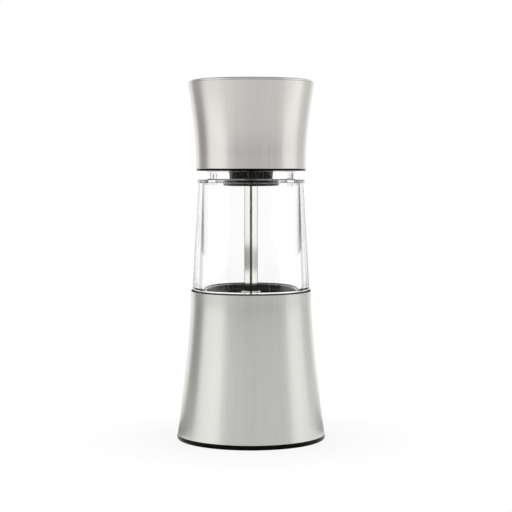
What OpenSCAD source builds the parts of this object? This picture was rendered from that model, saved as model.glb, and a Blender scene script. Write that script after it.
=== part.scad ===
// Spice mill: flared steel base and cap, clear jar, square spindle and an adjustable pair of burrs.
// The origin is the middle of the foot, on the table. +Z points up along the spindle.

/* [Base] */
// Height of the steel base's upper edge above the table
base_h = 74.5; // [66:0.5:90]
// Outer diameter of the steel base at its lower edge
base_low_d = 74.2; // [72:0.2:84]
// Outer diameter of the steel base at its upper edge
base_top_d = 60.6; // [59:0.2:63]
// Length of the straight stretch below the base's upper edge
base_straight_h = 6; // [2:0.5:14]
// How the base's flare opens: 1 is a plain cone, more is hollower
base_flare_power = 1.3; // [1:0.05:1.8]
// Thickness of the steel sheet of the base and of the cap
sheet_t = 0.8; // [0.5:0.1:1.1]
// Height of the black foot ring
foot_h = 2.2; // [2:0.1:4]
// How far the foot ring stands out past the steel
foot_lip = 0.3; // [0:0.1:1]
// Rounding of the foot ring's outer edges
foot_round = 0.7; // [0.3:0.1:0.9]
// Width of the foot ring
foot_w = 10; // [9:0.5:11]
// Wall of the black frame's skirt inside the base
frame_wall = 2; // [1.5:0.1:3]
// Thickness of the frame's ring under the liner's flange
frame_ring_t = 4; // [2:0.5:6]
// Thickness of the frame's flange on the foot ring
frame_flange_t = 2.5; // [1.5:0.5:4]
// Wall of the frame's socket around the jar's spigot
socket_wall = 1.1; // [0.8:0.1:1.5]

/* [Jar] */
// Height of the jar from its shoulder to its rim
jar_h = 54; // [45:0.5:75]
// Outer diameter of the jar under its rim
jar_top_d = 52.6; // [51:0.2:56]
// How far the jar's shoulder stands back from the base's steel
jar_step = 0.75; // [0.3:0.05:1.2]
// Diameter of the jar's straight bore
jar_bore_d = 48; // [46:0.2:49]
// Depth of the jar's spigot below its shoulder
jar_spigot_h = 8; // [5:0.5:12]
// Thickness of the black gasket under the jar's shoulder
gasket_t = 0.5; // [0.3:0.1:1]
// Thickness of the soft seal under the jar's foot
seal_t = 0.8; // [0.5:0.1:1.5]

/* [Collar] */
// Outer diameter of the collar's flange
collar_d = 54.4; // [53:0.2:58]
// Thickness of the collar's flange
collar_t = 1.6; // [1.2:0.1:2.5]
// Outer diameter of the collar's neck
neck_d = 44.6; // [42:0.2:48]
// Height of the neck above the flange
neck_h = 4; // [3:0.1:7]
// Wall of the neck and of the spigot below the flange
collar_wall = 1.7; // [1.2:0.1:2.4]
// Diameter of the filling opening
opening_d = 28.8; // [27:0.2:32]
// Depth of the collar's spigot in the jar
collar_spigot_h = 1; // [0.6:0.1:5]
// Number of ribs inside the neck
rib_count = 2; // [2:1:6]
// Thickness of a rib
rib_t = 1.6; // [1:0.1:2.5]
// Depth of a rib from the neck's inside
rib_depth = 1.9; // [1:0.1:2.5]
// How far a rib stands above the flange
rib_h = 2.9; // [1:0.1:2.9]
// How far a rib hangs below the flange
rib_drop = 2.2; // [0:0.1:4]
// Direction of the first rib, from +X
rib_angle = -17.5; // [-60:0.5:60]

/* [Cap] */
// Height of the cap's steel sleeve
cap_h = 42.9; // [40:0.1:60]
// Outer diameter of the cap's steel at its waist
cap_waist_d = 55.2; // [52:0.2:60]
// Outer diameter of the cap's steel at its rim
cap_rim_d = 63.6; // [60:0.2:72]
// Length of the straight stretch above the cap's lower edge
cap_straight_h = 6; // [2:0.5:12]
// How the cap's flare opens: 1 is a plain cone, more is hollower
cap_flare_power = 1.55; // [1:0.05:2]
// Height of the black band that shows under the steel
band_h = 1; // [0.6:0.1:2]
// How far the black band stands back from the steel
band_step = 0.1; // [0:0.05:0.5]
// Thickness of the cap core's floor
core_floor_t = 2.5; // [2.2:0.1:4]
// Wall of the cap's core
core_wall = 2; // [1.2:0.1:3]
// Height of the core's wall inside the steel
core_wall_h = 9; // [5:0.5:15]
// Wall of the core's tube around the boss
core_tube_wall = 2.8; // [1.5:0.1:4]
// Thickness of the web that closes the core's tube
core_web_t = 2.5; // [1.5:0.1:4]
// Thickness of the steel top plate
plate_t = 1.2; // [0.8:0.1:2]
// Rounding of the top plate's edge
plate_round = 0.7; // [0.3:0.1:0.75]
// Thickness of the carrier's disc under the top plate
carrier_t = 2.5; // [1.5:0.1:4]
// Diameter of the carrier's posts
post_d = 6.6; // [5:0.2:8]
// Diameter of the circle that the posts stand on
post_circle_d = 38; // [34:0.5:40]

/* [Drive] */
// Side of the square spindle
spindle_side = 5.2; // [4.6:0.1:5.6]
// Width of the flat along each corner of the spindle
spindle_corner = 0.6; // [0.2:0.1:0.8]
// Diameter of the boss under the cap
boss_d = 22.6; // [20:0.2:25]
// Taper of the boss: how much narrower its lower end is
boss_taper = 0.6; // [0:0.1:2]
// Diameter of the boss's stem inside the cap's core
stem_d = 18; // [16:0.2:19]
// Thickness of the boss's lip that plugs the collar's opening
lip_t = 3.2; // [2.6:0.1:5]
// How far the lip stands up into the collar's opening
lip_rise = 1.2; // [0.6:0.1:1.5]
// Depth of the square socket in the boss
socket_depth = 20; // [16:0.5:24]
// Room above the spindle's end in the socket
socket_room = 1.5; // [0.5:0.1:3]
// Thickness of the boss above the socket
stem_end_t = 3; // [2:0.5:5]
// Wire diameter of the spring ring in the boss
clip_wire_d = 0.9; // [0.6:0.1:1.1]
// Height of the spring ring above the boss's lower face
clip_rise = 3; // [2:0.5:8]
// Opening of the spring ring, in degrees
clip_opening = 50; // [20:5:90]

/* [Burrs] */
// Height of the fixed burr's lower face above the table
burr_z = 19; // [17.5:0.5:24]
// Height of the fixed burr
burr_h = 20; // [14:0.5:22]
// Outer diameter of the fixed burr
stator_d = 38; // [36:0.5:40]
// Bore of the fixed burr at its upper face
stator_top_d = 24; // [22:0.2:26]
// Bore of the fixed burr at its lower face
stator_low_d = 31; // [28:0.2:32]
// Gap between the burrs at the coarsest setting
burr_gap = 0.7; // [0.6:0.05:1.2]
// Number of teeth in the fixed burr
stator_teeth = 24; // [16:1:30]
// Number of teeth on the rotor burr
rotor_teeth = 18; // [12:1:24]
// Width of a tooth's groove
tooth_w = 1.3; // [0.8:0.1:1.6]
// Slant of the teeth, in degrees
tooth_slant = 14; // [0:1:20]
// Number of breaker flutes on the rotor burr
flute_count = 5; // [3:1:7]
// Diameter of a breaker flute
flute_d = 5; // [3:0.5:6]
// Lean of the breaker flutes, in degrees
flute_lean = 22; // [15:1:30]
// How far the rotor burr reaches below the fixed burr
rotor_drop = 0.5; // [0:0.1:2]
// Height of the rotor's spring seat above the fixed burr
rotor_seat_h = 3; // [2:0.5:5]
// Diameter of the rotor's spring seat
rotor_seat_d = 15; // [14.6:0.2:18]
// Wall of the burr housing
housing_wall = 2.2; // [1.5:0.1:3]
// Thickness of the housing's ledge under the fixed burr
housing_ledge_t = 2; // [1.5:0.1:3]
// Width of the ledge that the fixed burr stands on
housing_ledge_w = 1.8; // [1:0.1:2.2]
// Thickness of the housing's flange and of the liner's lower flange
housing_flange_t = 2.5; // [2:0.1:4]
// Width of the housing's flange outside its screws
housing_rim = 1.2; // [0.8:0.1:1.5]

/* [Liner and bridge] */
// Wall of the liner's upper rim
liner_wall = 1.3; // [1:0.1:2]
// How far the liner's rim stands above the jar's shoulder
liner_rim_h = 0.2; // [0:0.1:4]
// Depth of the bridge's ledge below the liner's rim
ledge_drop = 7.5; // [6:0.1:9]
// Width of the bridge's ledge
ledge_w = 2.2; // [1.5:0.1:3]
// Wall of the liner's cone
cone_wall = 1.8; // [1.2:0.1:2.5]
// Thickness of the liner's flange under the jar
liner_flange_t = 2; // [1.5:0.1:3]
// Diameter of the liner's throat above the burrs
throat_d = 28; // [26:0.2:30]
// Height of the bridge's hub
hub_h = 4; // [3.8:0.1:7]
// Wall of the bridge's hub
hub_wall = 2.6; // [1.5:0.1:3.5]
// Number of the bridge's arms
arm_count = 3; // [2:1:5]
// Width of a bridge arm
arm_w = 4.4; // [3:0.2:6]
// Height of a bridge arm
arm_h = 3.6; // [2.5:0.1:4]
// Height of the bridge's outer ring
bridge_ring_h = 2.5; // [1.5:0.1:4]
// Diameter of the bush that turns in the hub
bush_d = 11; // [9.5:0.1:12]
// How far the bush's flange stands out
bush_flange_w = 1.7; // [1:0.1:3]
// Thickness of the bush's flange
bush_flange_t = 1; // [0.8:0.1:2]

/* [Adjuster] */
// Diameter of the spindle's threaded end
thread_d = 4; // [3:0.5:4.5]
// Diameter of the adjuster knob
knob_d = 20; // [16:0.5:24]
// Height of the knob's grip
grip_h = 6; // [4:0.5:6]
// Height of the knob's neck under the rotor washer
knob_neck_h = 3; // [2.5:0.1:3.5]
// Diameter of the knob's neck
knob_neck_d = 13; // [12:0.5:15]
// Number of grip flutes round the knob
grip_flutes = 12; // [6:1:16]
// Diameter of a grip flute
grip_flute_d = 3; // [1.5:0.1:4]
// Width across the flats of the adjuster nut
nut_af = 7; // [6:0.5:9]
// Height of the adjuster nut
nut_h = 3.2; // [2:0.1:4]
// Wire diameter of the rotor spring
wire_d = 1; // [0.6:0.1:1.3]
// Mean diameter of the rotor spring
spring_d = 11.4; // [10:0.2:12.4]
// Number of turns of the rotor spring
spring_turns = 8; // [4:1:9]
// Thickness of the spring washer and of the rotor washer
washer_t = 0.8; // [0.5:0.1:1.5]
// How far the spindle reaches below the knob
spindle_tail = 0.5; // [0:0.1:2]
// Thickness of the spindle's retaining clip
retainer_t = 0.8; // [0.5:0.1:1.2]
// Diameter of the spindle's retaining clip
retainer_d = 10; // [8.6:0.2:12]
// Highest lift of the rotor burr, from coarse to fine
rotor_lift = 1.05; // [0.5:0.05:1.2]

/* [Screws] */
// Diameter of the base, cap and housing screws
screw_d = 2.8; // [2:0.1:3]
// Head diameter of those screws
head_d = 5.2; // [4:0.1:5.6]
// Head height of those screws
head_h = 1.2; // [0.8:0.1:1.3]
// Length of a screw's thread
screw_l = 8; // [6:0.5:9]
// Diameter of the screws that hold the boss
boss_screw_d = 2.2; // [1.6:0.1:2.4]
// Head diameter of those screws
boss_head_d = 4; // [3:0.1:4.6]
// Number of screws that hold the boss
boss_screw_count = 2; // [2:1:4]
// Wall around a screw in a moulded boss
screw_wall = 1.3; // [1:0.1:2]
// Number of screws in each circle of screws
screw_count = 3; // [2:1:6]

/* [Clearances] */
// Gap between faces that are fixed to each other
fit_gap = 0.15; // [0.05:0.01:0.2]
// Gap between faces that move past each other
run_gap = 0.3; // [0.2:0.05:0.5]
// Radial clearance of a running shaft or thread
shaft_gap = 0.06; // [0.02:0.01:0.1]

/* [Hidden] */
$fn = 96;

// Length by which a cutting shape runs past the face that it cuts
cut = 1;
// Number of straight steps that follow a flare
flare_steps = 16;

// Radii
base_low_r = base_low_d / 2;
base_top_r = base_top_d / 2;
foot_r = base_low_r + foot_lip;
foot_in_r = foot_r - foot_w;
socket_r = base_top_r - sheet_t - fit_gap - socket_wall;
jar_spigot_r = socket_r - fit_gap;
jar_low_r = base_top_r - jar_step;
jar_bore_r = jar_bore_d / 2;
liner_r = jar_bore_r - fit_gap;
liner_in_r = liner_r - liner_wall;
ledge_r = liner_in_r - ledge_w;
throat_r = throat_d / 2;
neck_r = neck_d / 2;
neck_in_r = neck_r - collar_wall;
collar_spigot_r = jar_bore_r - fit_gap;
opening_r = opening_d / 2;
lip_r = opening_r - run_gap;
boss_r = boss_d / 2;
stem_r = stem_d / 2;
cap_waist_r = cap_waist_d / 2;
cap_rim_r = cap_rim_d / 2;
core_r = cap_waist_r - sheet_t - fit_gap;
tube_r = stem_r + fit_gap + core_tube_wall;
stator_r = stator_d / 2;
housing_r = stator_r + fit_gap + housing_wall;
bush_r = bush_d / 2;
hub_r = bush_r + shaft_gap + hub_wall;
square_half = spindle_side / 2;
corner_r = (spindle_side - spindle_corner / sqrt(2)) / sqrt(2);
washer_r = bush_r + bush_flange_w;
washer_hole_r = corner_r + run_gap;
screw_boss_r = screw_d / 2 + fit_gap + screw_wall;
boss_screw_r = ((square_half + fit_gap) * sqrt(2) + stem_r) / 2;
base_screw_r = foot_in_r + screw_boss_r;
housing_screw_r = housing_r + fit_gap + head_d / 2;
housing_flange_r = housing_screw_r + screw_d / 2 + fit_gap + housing_rim;

// Depth of the recess that a sunk screw's head lies in
head_room = head_h + fit_gap;

// Heights, from the table upwards
stator_top_z = burr_z + burr_h;
rotor_low_z = burr_z - rotor_drop;
rotor_top_z = stator_top_z + rotor_seat_h;
knob_top_z = rotor_low_z - washer_t;
knob_low_z = knob_top_z - knob_neck_h - grip_h;
spindle_low_z = knob_low_z - spindle_tail;
square_low_z = rotor_low_z - run_gap;
shoulder_z = base_h + gasket_t;
jar_low_z = shoulder_z - jar_spigot_h;
jar_top_z = shoulder_z + jar_h;
flange_top_z = jar_low_z - seal_t;
flange_low_z = flange_top_z - liner_flange_t;
frame_ring_z = flange_low_z - frame_ring_t;
liner_top_z = shoulder_z + liner_rim_h;
ledge_z = liner_top_z - ledge_drop;
hub_top_z = ledge_z + hub_h;
bush_low_z = ledge_z - run_gap;
bush_top_z = hub_top_z + bush_flange_t;
spring_top_z = bush_low_z - washer_t;
collar_top_z = jar_top_z + collar_t;
neck_top_z = collar_top_z + neck_h;
cap_low_z = neck_top_z + run_gap;
sleeve_low_z = cap_low_z + band_h;
core_floor_z = cap_low_z + core_floor_t;
cap_screw_z = cap_low_z + head_room;
sleeve_top_z = sleeve_low_z + cap_h;
carrier_z = sleeve_top_z - carrier_t;
lip_top_z = jar_top_z + lip_rise;
boss_low_z = lip_top_z - lip_t;
socket_top_z = boss_low_z + socket_depth;
spindle_top_z = socket_top_z - socket_room;
stem_top_z = socket_top_z + stem_end_t;
web_top_z = stem_top_z + core_web_t;

// Outer radius of the base's steel at a height
function base_r(z) =
    let (flare_top_z = base_h - base_straight_h)
    let (share = (flare_top_z - z) / (flare_top_z - foot_h))
    base_top_r + (base_low_r - base_top_r) * pow(max(0, share), base_flare_power);

// Outer radius of the frame's skirt at a height, just inside the steel
function frame_r(z) = base_r(z) - sheet_t - fit_gap;

// Outer radius of the cap's steel at a height
function cap_r(z) =
    let (flare_low_z = sleeve_low_z + cap_straight_h)
    let (share = (z - flare_low_z) / (sleeve_top_z - flare_low_z))
    cap_waist_r + (cap_rim_r - cap_waist_r) * pow(max(0, share), cap_flare_power);

// Outer radius of the liner's cone at a height
function cone_r(z) =
    throat_r + cone_wall + (ledge_r - throat_r) * (z - stator_top_z) / (ledge_z - stator_top_z);

// Bore radius of the fixed burr at a height
function burr_r(z) =
    stator_low_d / 2 + (stator_top_d - stator_low_d) / 2 * (z - burr_z) / burr_h;

// Copies of a shape on a circle about the spindle
module around(count, r, first = 0) {
    for (i = [0 : count - 1]) {
        rotate(first + i * 360 / count) {
            translate([r, 0, 0]) {
                children();
            }
        }
    }
}

// A flat ring that lies between two heights
module ring(inner_r, outer_r, low_z, high_z) {
    translate([0, 0, low_z]) {
        difference() {
            cylinder(r = outer_r, h = high_z - low_z);
            translate([0, 0, -cut]) {
                cylinder(r = inner_r, h = high_z - low_z + 2 * cut);
            }
        }
    }
}

// A round disc about the spindle's line between two heights, to add or to cut away
module disc(r, low_z, high_z) {
    translate([0, 0, low_z]) {
        cylinder(r = r, h = high_z - low_z);
    }
}

// The spindle's square, with flats on its corners that face along X and Y
module square_bar(half, corner) {
    rotate(45) {
        intersection() {
            square(2 * half, center = true);
            rotate(45) {
                square(2 * half * sqrt(2) - corner, center = true);
            }
        }
    }
}

// The square hole that slides on the spindle
module square_hole(gap, low_z, high_z) {
    translate([0, 0, low_z]) {
        linear_extrude(high_z - low_z) {
            square_bar(square_half + gap, 0);
        }
    }
}

// Slanted grooves centred on the cone of a burr
module tooth_grooves(count, low_z, high_z, low_r, high_r, slant) {
    lean = atan((low_r - high_r) / (high_z - low_z));
    around(count, (low_r + high_r) / 2) {
        translate([0, 0, (low_z + high_z) / 2]) {
            rotate([slant, -lean, 0]) {
                rotate(45) {
                    cube([tooth_w / sqrt(2), tooth_w / sqrt(2), 2 * (high_z - low_z)], center = true);
                }
            }
        }
    }
}

// A screw with its head's seat at the origin and its thread upwards
module screw(d, head, length) {
    slot_w = head / 6;
    difference() {
        translate([0, 0, -head_h]) {
            cylinder(d = head, h = head_h);
        }
        for (turn = [0, 90]) {
            rotate(turn) {
                translate([0, 0, -head_h]) {
                    cube([head * 2 / 3, slot_w, head_h], center = true);
                }
            }
        }
    }
    cylinder(d = d, h = length);
}

// The room for a sunk screw: a hole for its thread and one for its head
module screw_hole(d, head, length) {
    translate([0, 0, -cut]) {
        cylinder(d = d + 2 * fit_gap, h = length + cut + fit_gap);
    }
    translate([0, 0, -head_room - cut]) {
        cylinder(d = head + 2 * fit_gap, h = head_room + cut);
    }
}

// Steel sheet rolled into a flared sleeve and brushed
module base_sleeve() {
    heights = [for (i = [0 : flare_steps]) foot_h + (base_h - base_straight_h - foot_h) * i / flare_steps];
    outer = concat([for (z = heights) [base_r(z), z]], [[base_top_r, base_h]]);
    inner = concat([[base_top_r - sheet_t, base_h]],
        [for (i = [flare_steps : -1 : 0]) [base_r(heights[i]) - sheet_t, heights[i]]]);
    color("silver") {
        rotate_extrude() {
            polygon(concat(outer, inner));
        }
    }
}

// Bosses for the foot ring's screws, each tied to the frame's skirt by a rib
module foot_bosses() {
    boss_top_z = foot_h + screw_l + screw_wall;
    rib_z = [for (i = [0 : flare_steps]) foot_h + (boss_top_z - foot_h) * i / flare_steps];
    around(screw_count, base_screw_r) {
        disc(screw_boss_r, foot_h, boss_top_z);
    }
    intersection() {
        rotate_extrude() {
            polygon(concat(
                [for (z = rib_z) [frame_r(z) - frame_wall / 2, z]],
                [[base_screw_r, boss_top_z], [base_screw_r, foot_h]]
            ));
        }
        around(screw_count, base_screw_r) {
            translate([0, -screw_d / 2, foot_h]) {
                cube([foot_w, screw_d, boss_top_z - foot_h]);
            }
        }
    }
}

// Black moulding that carries the jar and the liner, with a skirt that backs the steel
module base_frame() {
    foot_flange_z = foot_h + frame_flange_t;
    outer_z = [for (i = [0 : flare_steps]) foot_h + (base_h - base_straight_h - foot_h) * i / flare_steps];
    inner_z = [for (i = [0 : flare_steps]) frame_ring_z + (foot_flange_z - frame_ring_z) * i / flare_steps];
    color("#1b1b1d") {
        difference() {
            union() {
                rotate_extrude() {
                    polygon(concat(
                        [for (z = outer_z) [frame_r(z), z]],
                        [
                            [frame_r(base_h), base_h],
                            [socket_r, base_h],
                            [socket_r, flange_low_z],
                            [cone_r(flange_low_z) + run_gap, flange_low_z],
                            [cone_r(flange_low_z) + run_gap, frame_ring_z]
                        ],
                        [for (z = inner_z) [frame_r(z) - frame_wall, z]],
                        [[foot_in_r, foot_flange_z], [foot_in_r, foot_h]]
                    ));
                }
                foot_bosses();
            }
            around(screw_count, base_screw_r) {
                disc(screw_d / 2 + fit_gap, foot_h - cut, foot_h + screw_l);
            }
        }
    }
}

// Black ring that the mill stands on, with rounded outer edges and sunk screws
module foot_ring() {
    color("#0c0c0d") {
        difference() {
            rotate_extrude() {
                translate([foot_in_r, 0]) {
                    square([foot_r - foot_round - foot_in_r, foot_h]);
                }
                translate([foot_in_r, foot_round]) {
                    square([foot_r - foot_in_r, foot_h - 2 * foot_round]);
                }
                for (z = [foot_round, foot_h - foot_round]) {
                    translate([foot_r - foot_round, z]) {
                        circle(foot_round);
                    }
                }
            }
            around(screw_count, base_screw_r) {
                translate([0, 0, head_room]) {
                    screw_hole(screw_d, head_d, screw_l);
                }
            }
        }
    }
}

// Screws that hold the foot ring to the frame
module base_screws() {
    color("dimgray") {
        around(screw_count, base_screw_r) {
            translate([0, 0, head_room]) {
                screw(screw_d, head_d, screw_l);
            }
        }
    }
}

// Glossy black funnel from the jar's foot down to the burrs
module hopper_liner() {
    color("#101012") {
        difference() {
            rotate_extrude() {
                polygon([
                    [throat_r, stator_top_z],
                    [housing_flange_r, stator_top_z],
                    [housing_flange_r, stator_top_z + housing_flange_t],
                    [cone_r(stator_top_z + housing_flange_t), stator_top_z + housing_flange_t],
                    [cone_r(flange_low_z), flange_low_z],
                    [socket_r - fit_gap, flange_low_z],
                    [socket_r - fit_gap, flange_top_z],
                    [liner_r, flange_top_z],
                    [liner_r, liner_top_z],
                    [liner_in_r, liner_top_z],
                    [liner_in_r, ledge_z],
                    [ledge_r, ledge_z]
                ]);
            }
            around(screw_count, housing_screw_r) {
                disc(screw_d / 2 + fit_gap, stator_top_z - cut, stator_top_z + housing_flange_t + cut);
            }
        }
    }
}

// Soft ring between the jar's foot and the liner's flange
module jar_seal() {
    color("gainsboro") {
        ring(liner_r + fit_gap, jar_spigot_r - fit_gap, flange_top_z, jar_low_z);
    }
}

// Clear jar: tapered outside, straight bore, spigot in the base
module jar() {
    color("lightcyan", 0.4) {
        rotate_extrude() {
            polygon([
                [jar_bore_r, jar_low_z],
                [jar_spigot_r, jar_low_z],
                [jar_spigot_r, shoulder_z],
                [jar_low_r, shoulder_z],
                [jar_top_d / 2, jar_top_z],
                [jar_bore_r, jar_top_z]
            ]);
        }
    }
}

// Thin black gasket on the base's upper edge
module rim_gasket() {
    color("black") {
        ring(jar_spigot_r + fit_gap, base_top_r - fit_gap, base_h, shoulder_z);
    }
}

// Clear collar on the jar's rim: flange, neck, spigot and ribs around the filling opening
module jar_collar() {
    color("lightcyan", 0.4) {
        ring(opening_r, collar_d / 2, jar_top_z, collar_top_z);
        ring(neck_in_r, neck_r, jar_top_z, neck_top_z);
        ring(collar_spigot_r - collar_wall, collar_spigot_r, jar_top_z - collar_spigot_h, collar_top_z);
        around(rib_count, neck_in_r - rib_depth, rib_angle) {
            translate([0, -rib_t / 2, jar_top_z - rib_drop]) {
                cube([rib_depth + collar_wall / 2, rib_t, rib_drop + collar_t + rib_h]);
            }
        }
    }
}

// Bridge across the liner: an outer ring, arms and the hub that the bush turns in
module spindle_bridge() {
    color("#232326") {
        difference() {
            union() {
                ring(ledge_r, liner_in_r - fit_gap, ledge_z, ledge_z + bridge_ring_h);
                disc(hub_r, ledge_z, hub_top_z);
                around(arm_count, 0, 90) {
                    translate([0, -arm_w / 2, ledge_z]) {
                        cube([ledge_r, arm_w, arm_h]);
                    }
                }
                around(arm_count, 0, 90) {
                    translate([0, -arm_w / 2, ledge_z]) {
                        cube([(ledge_r + liner_in_r - fit_gap) / 2, arm_w, bridge_ring_h]);
                    }
                }
            }
            disc(bush_r + shaft_gap, ledge_z - cut, hub_top_z + cut);
        }
    }
}

// Cup that holds the fixed burr under the liner
module burr_housing() {
    housing_low_z = burr_z - housing_ledge_t;
    color("#1b1b1d") {
        difference() {
            union() {
                disc(housing_r, housing_low_z, stator_top_z);
                disc(housing_flange_r, stator_top_z - housing_flange_t, stator_top_z);
            }
            disc(stator_r + fit_gap, burr_z, stator_top_z + cut);
            disc(stator_r - housing_ledge_w, housing_low_z - cut, burr_z + cut);
            around(screw_count, housing_screw_r) {
                disc(screw_d / 2 + fit_gap, stator_top_z - housing_flange_t - cut, stator_top_z + cut);
            }
        }
    }
}

// Screws through the housing's flange into the liner's
module housing_screws() {
    color("dimgray") {
        around(screw_count, housing_screw_r) {
            translate([0, 0, stator_top_z - housing_flange_t]) {
                screw(screw_d, head_d, screw_l);
            }
        }
    }
}

// Fixed burr: hardened steel ring with slanted teeth inside
module stator_burr() {
    color("gray") {
        difference() {
            disc(stator_r, burr_z, stator_top_z);
            rotate_extrude() {
                polygon([
                    [0, burr_z - cut],
                    [burr_r(burr_z - cut), burr_z - cut],
                    [burr_r(stator_top_z + cut), stator_top_z + cut],
                    [0, stator_top_z + cut]
                ]);
            }
            tooth_grooves(stator_teeth, burr_z, stator_top_z, burr_r(burr_z), burr_r(stator_top_z),
                tooth_slant);
        }
    }
}

// Rotor burr: steel cone with slanted teeth and breaker flutes, on the spindle's square
module rotor_burr() {
    low_r = burr_r(rotor_low_z) - burr_gap;
    top_r = burr_r(stator_top_z) - burr_gap;
    color("dimgray") {
        difference() {
            union() {
                rotate_extrude() {
                    polygon([
                        [0, rotor_low_z],
                        [low_r, rotor_low_z],
                        [top_r, stator_top_z],
                        [0, stator_top_z]
                    ]);
                }
                disc(rotor_seat_d / 2, stator_top_z, rotor_top_z);
            }
            tooth_grooves(rotor_teeth, rotor_low_z, stator_top_z, low_r, top_r, -tooth_slant);
            around(flute_count, top_r) {
                translate([0, 0, stator_top_z]) {
                    rotate([tooth_slant, -flute_lean, 0]) {
                        cylinder(d = flute_d, h = burr_h, center = true);
                    }
                }
            }
            square_hole(shaft_gap, rotor_low_z - cut, rotor_top_z + cut);
        }
    }
}

// Washer between the rotor burr and the adjuster knob
module rotor_washer() {
    color("lightgray") {
        ring(washer_hole_r, knob_neck_d / 2, knob_top_z, rotor_low_z);
    }
}

// Square rod that drives the rotor, with a clip groove and a threaded lower end
module spindle() {
    groove_r = square_half;
    color("gainsboro") {
        difference() {
            translate([0, 0, square_low_z]) {
                linear_extrude(spindle_top_z - square_low_z) {
                    square_bar(square_half, spindle_corner);
                }
            }
            ring(groove_r, retainer_d / 2, bush_top_z, bush_top_z + retainer_t);
        }
        disc(thread_d / 2, spindle_low_z, square_low_z);
    }
}

// Clip in the spindle's groove, open at the back, that rests on the bush
module spindle_clip() {
    color("darkgray") {
        difference() {
            ring(square_half + fit_gap, retainer_d / 2, bush_top_z, bush_top_z + retainer_t);
            translate([-square_half, 0, bush_top_z - cut]) {
                cube([spindle_side, retainer_d, retainer_t + 2 * cut]);
            }
        }
    }
}

// Flanged bush that turns with the spindle in the bridge's hub
module spindle_bush() {
    color("#2a2a2d") {
        difference() {
            union() {
                disc(bush_r, bush_low_z, bush_top_z);
                disc(bush_r + bush_flange_w, hub_top_z, bush_top_z);
            }
            square_hole(fit_gap, bush_low_z - cut, bush_top_z + cut);
        }
    }
}

// Upper seat of the rotor spring, under the bush
module spring_washer() {
    color("lightgray") {
        ring(washer_hole_r, washer_r, spring_top_z, bush_low_z);
    }
}

// Spring wire: rings of points along a helix, then triangles between the rings
module rotor_spring() {
    rings_per_turn = 8;
    sides = 6;
    end_room = fit_gap / 2;
    low_z = rotor_top_z + wire_d / 2 + end_room;
    high_z = spring_top_z - wire_d / 2 - end_room;
    last = spring_turns * rings_per_turn;
    r = spring_d / 2;
    rise = (high_z - low_z) / spring_turns;
    pitch_angle = atan(rise / (2 * PI * r));
    path = [for (i = [0 : last]) let (a = i * 360 / rings_per_turn)
        [r * cos(a), r * sin(a), low_z + rise * i / rings_per_turn]];
    points = [for (i = [0 : last]) let (a = i * 360 / rings_per_turn)
        for (k = [0 : sides - 1]) let (b = k * 360 / sides)
            path[i] + wire_d / 2 * (cos(b) * [cos(a), sin(a), 0]
                + sin(b) * [sin(pitch_angle) * sin(a), -sin(pitch_angle) * cos(a), cos(pitch_angle)])];
    walls = [for (i = [0 : last - 1]) for (k = [0 : sides - 1])
        let (p = i * sides + k, q = i * sides + (k + 1) % sides)
            each [[p, p + sides, q], [q, p + sides, q + sides]]];
    ends = [for (k = [1 : sides - 2])
        each [[0, k, k + 1], [last * sides, last * sides + k + 1, last * sides + k]]];
    least_gap = min([for (i = [0 : last - rings_per_turn / 2 - 1])
        for (j = [i + rings_per_turn / 2 + 1 : last]) norm(path[j] - path[i])]) - wire_d;
    echo(rotor_spring_least_gap = least_gap);
    color("silver") {
        polyhedron(points, concat(walls, ends));
    }
}

// Knob under the rotor: a fluted grip, a neck and a pocket for the nut
module adjuster_knob() {
    pocket_r = nut_af / sqrt(3) + fit_gap;
    neck_low_z = knob_low_z + grip_h;
    color("#2a2a2d") {
        difference() {
            union() {
                disc(knob_d / 2, knob_low_z, neck_low_z);
                disc(knob_neck_d / 2, neck_low_z, knob_top_z);
            }
            around(grip_flutes, knob_d / 2) {
                disc(grip_flute_d / 2, knob_low_z - cut, neck_low_z + cut);
            }
            disc(thread_d / 2 + run_gap, knob_low_z - cut, knob_top_z + cut);
            disc(washer_hole_r, square_low_z - rotor_lift - run_gap, knob_top_z + cut);
            translate([0, 0, knob_low_z - cut]) {
                cylinder(r = pocket_r, h = nut_h + fit_gap + cut, $fn = 6);
            }
        }
    }
}

// Brass nut in the knob, on the spindle's thread
module adjuster_nut() {
    color("goldenrod") {
        translate([0, 0, knob_low_z + fit_gap]) {
            difference() {
                cylinder(r = nut_af / sqrt(3), h = nut_h, $fn = 6);
                translate([0, 0, -cut]) {
                    cylinder(d = thread_d + 2 * shaft_gap, h = nut_h + 2 * cut);
                }
            }
        }
    }
}

// Steel sheet rolled into the cap's flared sleeve and brushed
module cap_sleeve() {
    flare_low_z = sleeve_low_z + cap_straight_h;
    heights = [for (i = [0 : flare_steps]) flare_low_z + (sleeve_top_z - flare_low_z) * i / flare_steps];
    outer = concat([[cap_waist_r, sleeve_low_z]], [for (z = heights) [cap_r(z), z]]);
    inner = concat([for (i = [flare_steps : -1 : 0]) [cap_r(heights[i]) - sheet_t, heights[i]]],
        [[cap_waist_r - sheet_t, sleeve_low_z]]);
    color("silver") {
        rotate_extrude() {
            polygon(concat(outer, inner));
        }
    }
}

// Steel plate that closes the cap, with a rounded upper edge
module cap_top_plate() {
    color("silver") {
        translate([0, 0, sleeve_top_z]) {
            rotate_extrude() {
                square([cap_rim_r - plate_round, plate_t]);
                square([cap_rim_r, plate_t - plate_round]);
                translate([cap_rim_r - plate_round, plate_t - plate_round]) {
                    intersection() {
                        circle(plate_round);
                        square(plate_round);
                    }
                }
            }
        }
    }
}

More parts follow.
